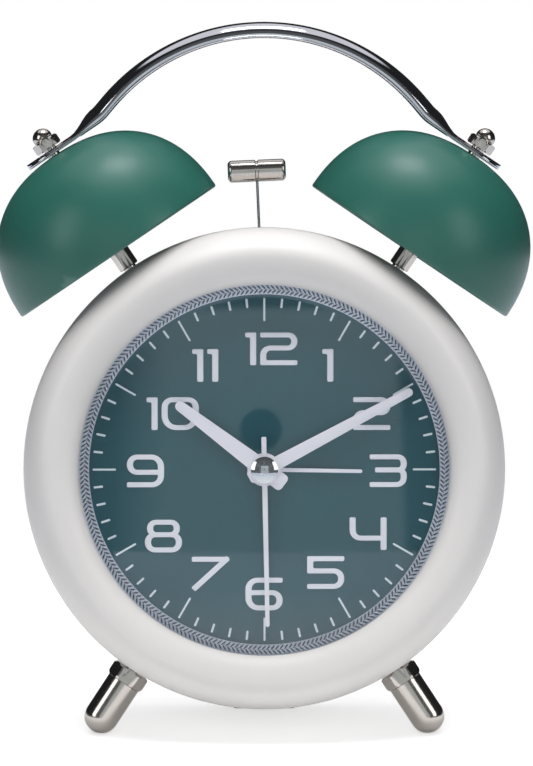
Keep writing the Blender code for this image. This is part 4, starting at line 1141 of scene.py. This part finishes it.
def floor():
    """A pale round table that fades into the white background."""
    steps = 96
    points = [(0, 0, 0)] + [(x, y, 0) for x, y in circle(FLOOR_RADIUS * MM, steps)]
    faces = [(0, 1 + k, 1 + (k + 1) % steps) for k in range(steps)]
    mesh = bpy.data.meshes.new("floor")
    mesh.from_pydata(points, [], faces)
    made, nodes = material("pale_floor")
    place = nodes.add("TexCoord").outputs["Object"]
    reach = nodes.add("VectorMath", {0: place}, operation="LENGTH").outputs["Value"]
    fade = nodes.span(reach, *FLOOR_FADE)
    seen = nodes.add("LightPath").outputs["Is Camera Ray"]
    paper = nodes.add("BsdfDiffuse", {"Color": (0.85, 0.85, 0.85, 1.0)}).outputs["BSDF"]
    tint = nodes.mix(seen, (0.9, 0.95, 1.05, 1.0), WHITE)
    glow = nodes.add("Emission", {"Color": tint, "Strength": 1.0}).outputs["Emission"]
    lifted = nodes.add("Emission", {"Strength": nodes.span(seen, 0.0, 1.0, 0.15, 0.6)}).outputs["Emission"]
    near = nodes.add("AddShader", {0: paper, 1: lifted}).outputs["Shader"]
    surface = nodes.add("MixShader", {0: fade, 1: near, 2: glow}).outputs["Shader"]
    nodes.add("OutputMaterial", {"Surface": surface})
    mesh.materials.append(made)
    placed("floor", mesh)


def softbox(name, place, size, power, lit=True, mirrored=True, aim=(0.0, 0.0, 0.07)):
    """A soft rectangular light. Without lit it only shows in gloss, and without mirrored it never does."""
    light = bpy.data.lights.new(name, "AREA")
    light.shape = "RECTANGLE"
    light.size, light.size_y = size
    light.energy = power
    obj = placed(name, light)
    obj.location = place
    obj.rotation_euler = (Vector(aim) - Vector(place)).to_track_quat("-Z", "Y").to_euler()
    obj.visible_diffuse = lit
    obj.visible_glossy = mirrored


def studio():
    """White to the camera. What the clock mirrors is a dark room with a broad white ceiling, a grey wall
    behind the camera and the dark disc of the camera's lens, besides the softboxes."""
    world = bpy.data.worlds.new("studio")
    bpy.context.scene.world = world
    world.use_nodes = True
    nodes = Nodes(world.node_tree)

    def math(operation, a, b=0.0):
        return nodes.add("Math", {0: a, 1: b}, operation=operation).outputs[0]

    way = nodes.add("TexCoord").outputs["Generated"]
    part = nodes.add("SeparateXYZ", {"Vector": way})
    across, depth, height = (part.outputs[name] for name in "XYZ")
    room = nodes.mix(nodes.span(depth, *ROOM_DEPTHS), *ROOM_TONES)
    ahead = math("MAXIMUM", math("MULTIPLY", depth, -1.0), 0.05)
    slant, rise = math("DIVIDE", across, ahead), math("DIVIDE", height, ahead)
    left, right = WALL_EDGES
    right_part = nodes.span(slant, right, right + 0.02, 1.0, 0.0)
    wall = math("MULTIPLY", right_part, nodes.span(slant, left, left + 0.12))
    wall = math("MULTIPLY", wall, nodes.span(rise, WALL_TOP, WALL_TOP + 0.02, 1.0, 0.0))
    grey = nodes.mix(nodes.span(rise, WALL_BOTTOM, WALL_TOP), *WALL_TONES)
    room = nodes.mix(wall, room, grey)
    toward = (CLOCK @ Vector(CAMERA_AT) - CLOCK.translation).normalized()
    facing = nodes.add("VectorMath", {0: way, 1: toward}, operation="DOT_PRODUCT").outputs["Value"]
    spot = nodes.span(facing, *[cos(radians(edge)) for edge in SPOT_EDGES])
    room = nodes.mix(spot, room, SPOT_TONE)
    ceiling = nodes.span(math("ADD", height, math("MULTIPLY", depth, CEILING_SLOPE)), *CEILING_EDGES)
    room = nodes.mix(ceiling, room, CEILING_TONE)
    seen = nodes.add("LightPath").outputs["Is Camera Ray"]
    colour = nodes.mix(seen, room, WHITE)
    sky = nodes.add("Background", {"Color": colour, "Strength": 1.0})
    nodes.add("OutputWorld", {"Surface": sky.outputs["Background"]})
    softbox("top", (0.0, 0.1, 0.95), (0.34, 0.3), 2.2)
    softbox("top_fill", (0.0, -0.2, 0.95), (0.7, 0.4), 7.2, mirrored=False)
    softbox("front_fill", (0.0, -1.2, 0.45), (1.0, 0.5), 2.6, mirrored=False)
    softbox("left_strip", (-1.0, -0.75, 0.55), (0.5, 0.8), 3.0, lit=False)
    softbox("right_strip", (1.0, -0.75, 0.55), (0.5, 0.8), 3.0, lit=False)
    bpy.context.scene.view_settings.view_transform = "Standard"


def camera():
    data = bpy.data.cameras.new("camera")
    data.lens = CAMERA_LENS
    data.sensor_width = 36.0
    data.clip_end = 20.0
    obj = placed("camera", data)
    spot, aim = CLOCK @ Vector(CAMERA_AT), CLOCK @ Vector(CAMERA_AIM)
    obj.location = spot
    obj.rotation_euler = (aim - spot).to_track_quat("-Z", "Y").to_euler()
    bpy.context.scene.camera = obj


def main():
    paint_cad_nodes()
    case_shell()
    lens()
    dial()
    hands()
    bells()
    feet()
    handle()
    hammer()
    rear_cover()
    battery_door()
    knobs()
    switch()
    button()
    batteries()
    pad()
    floor()
    studio()
    camera()


main()
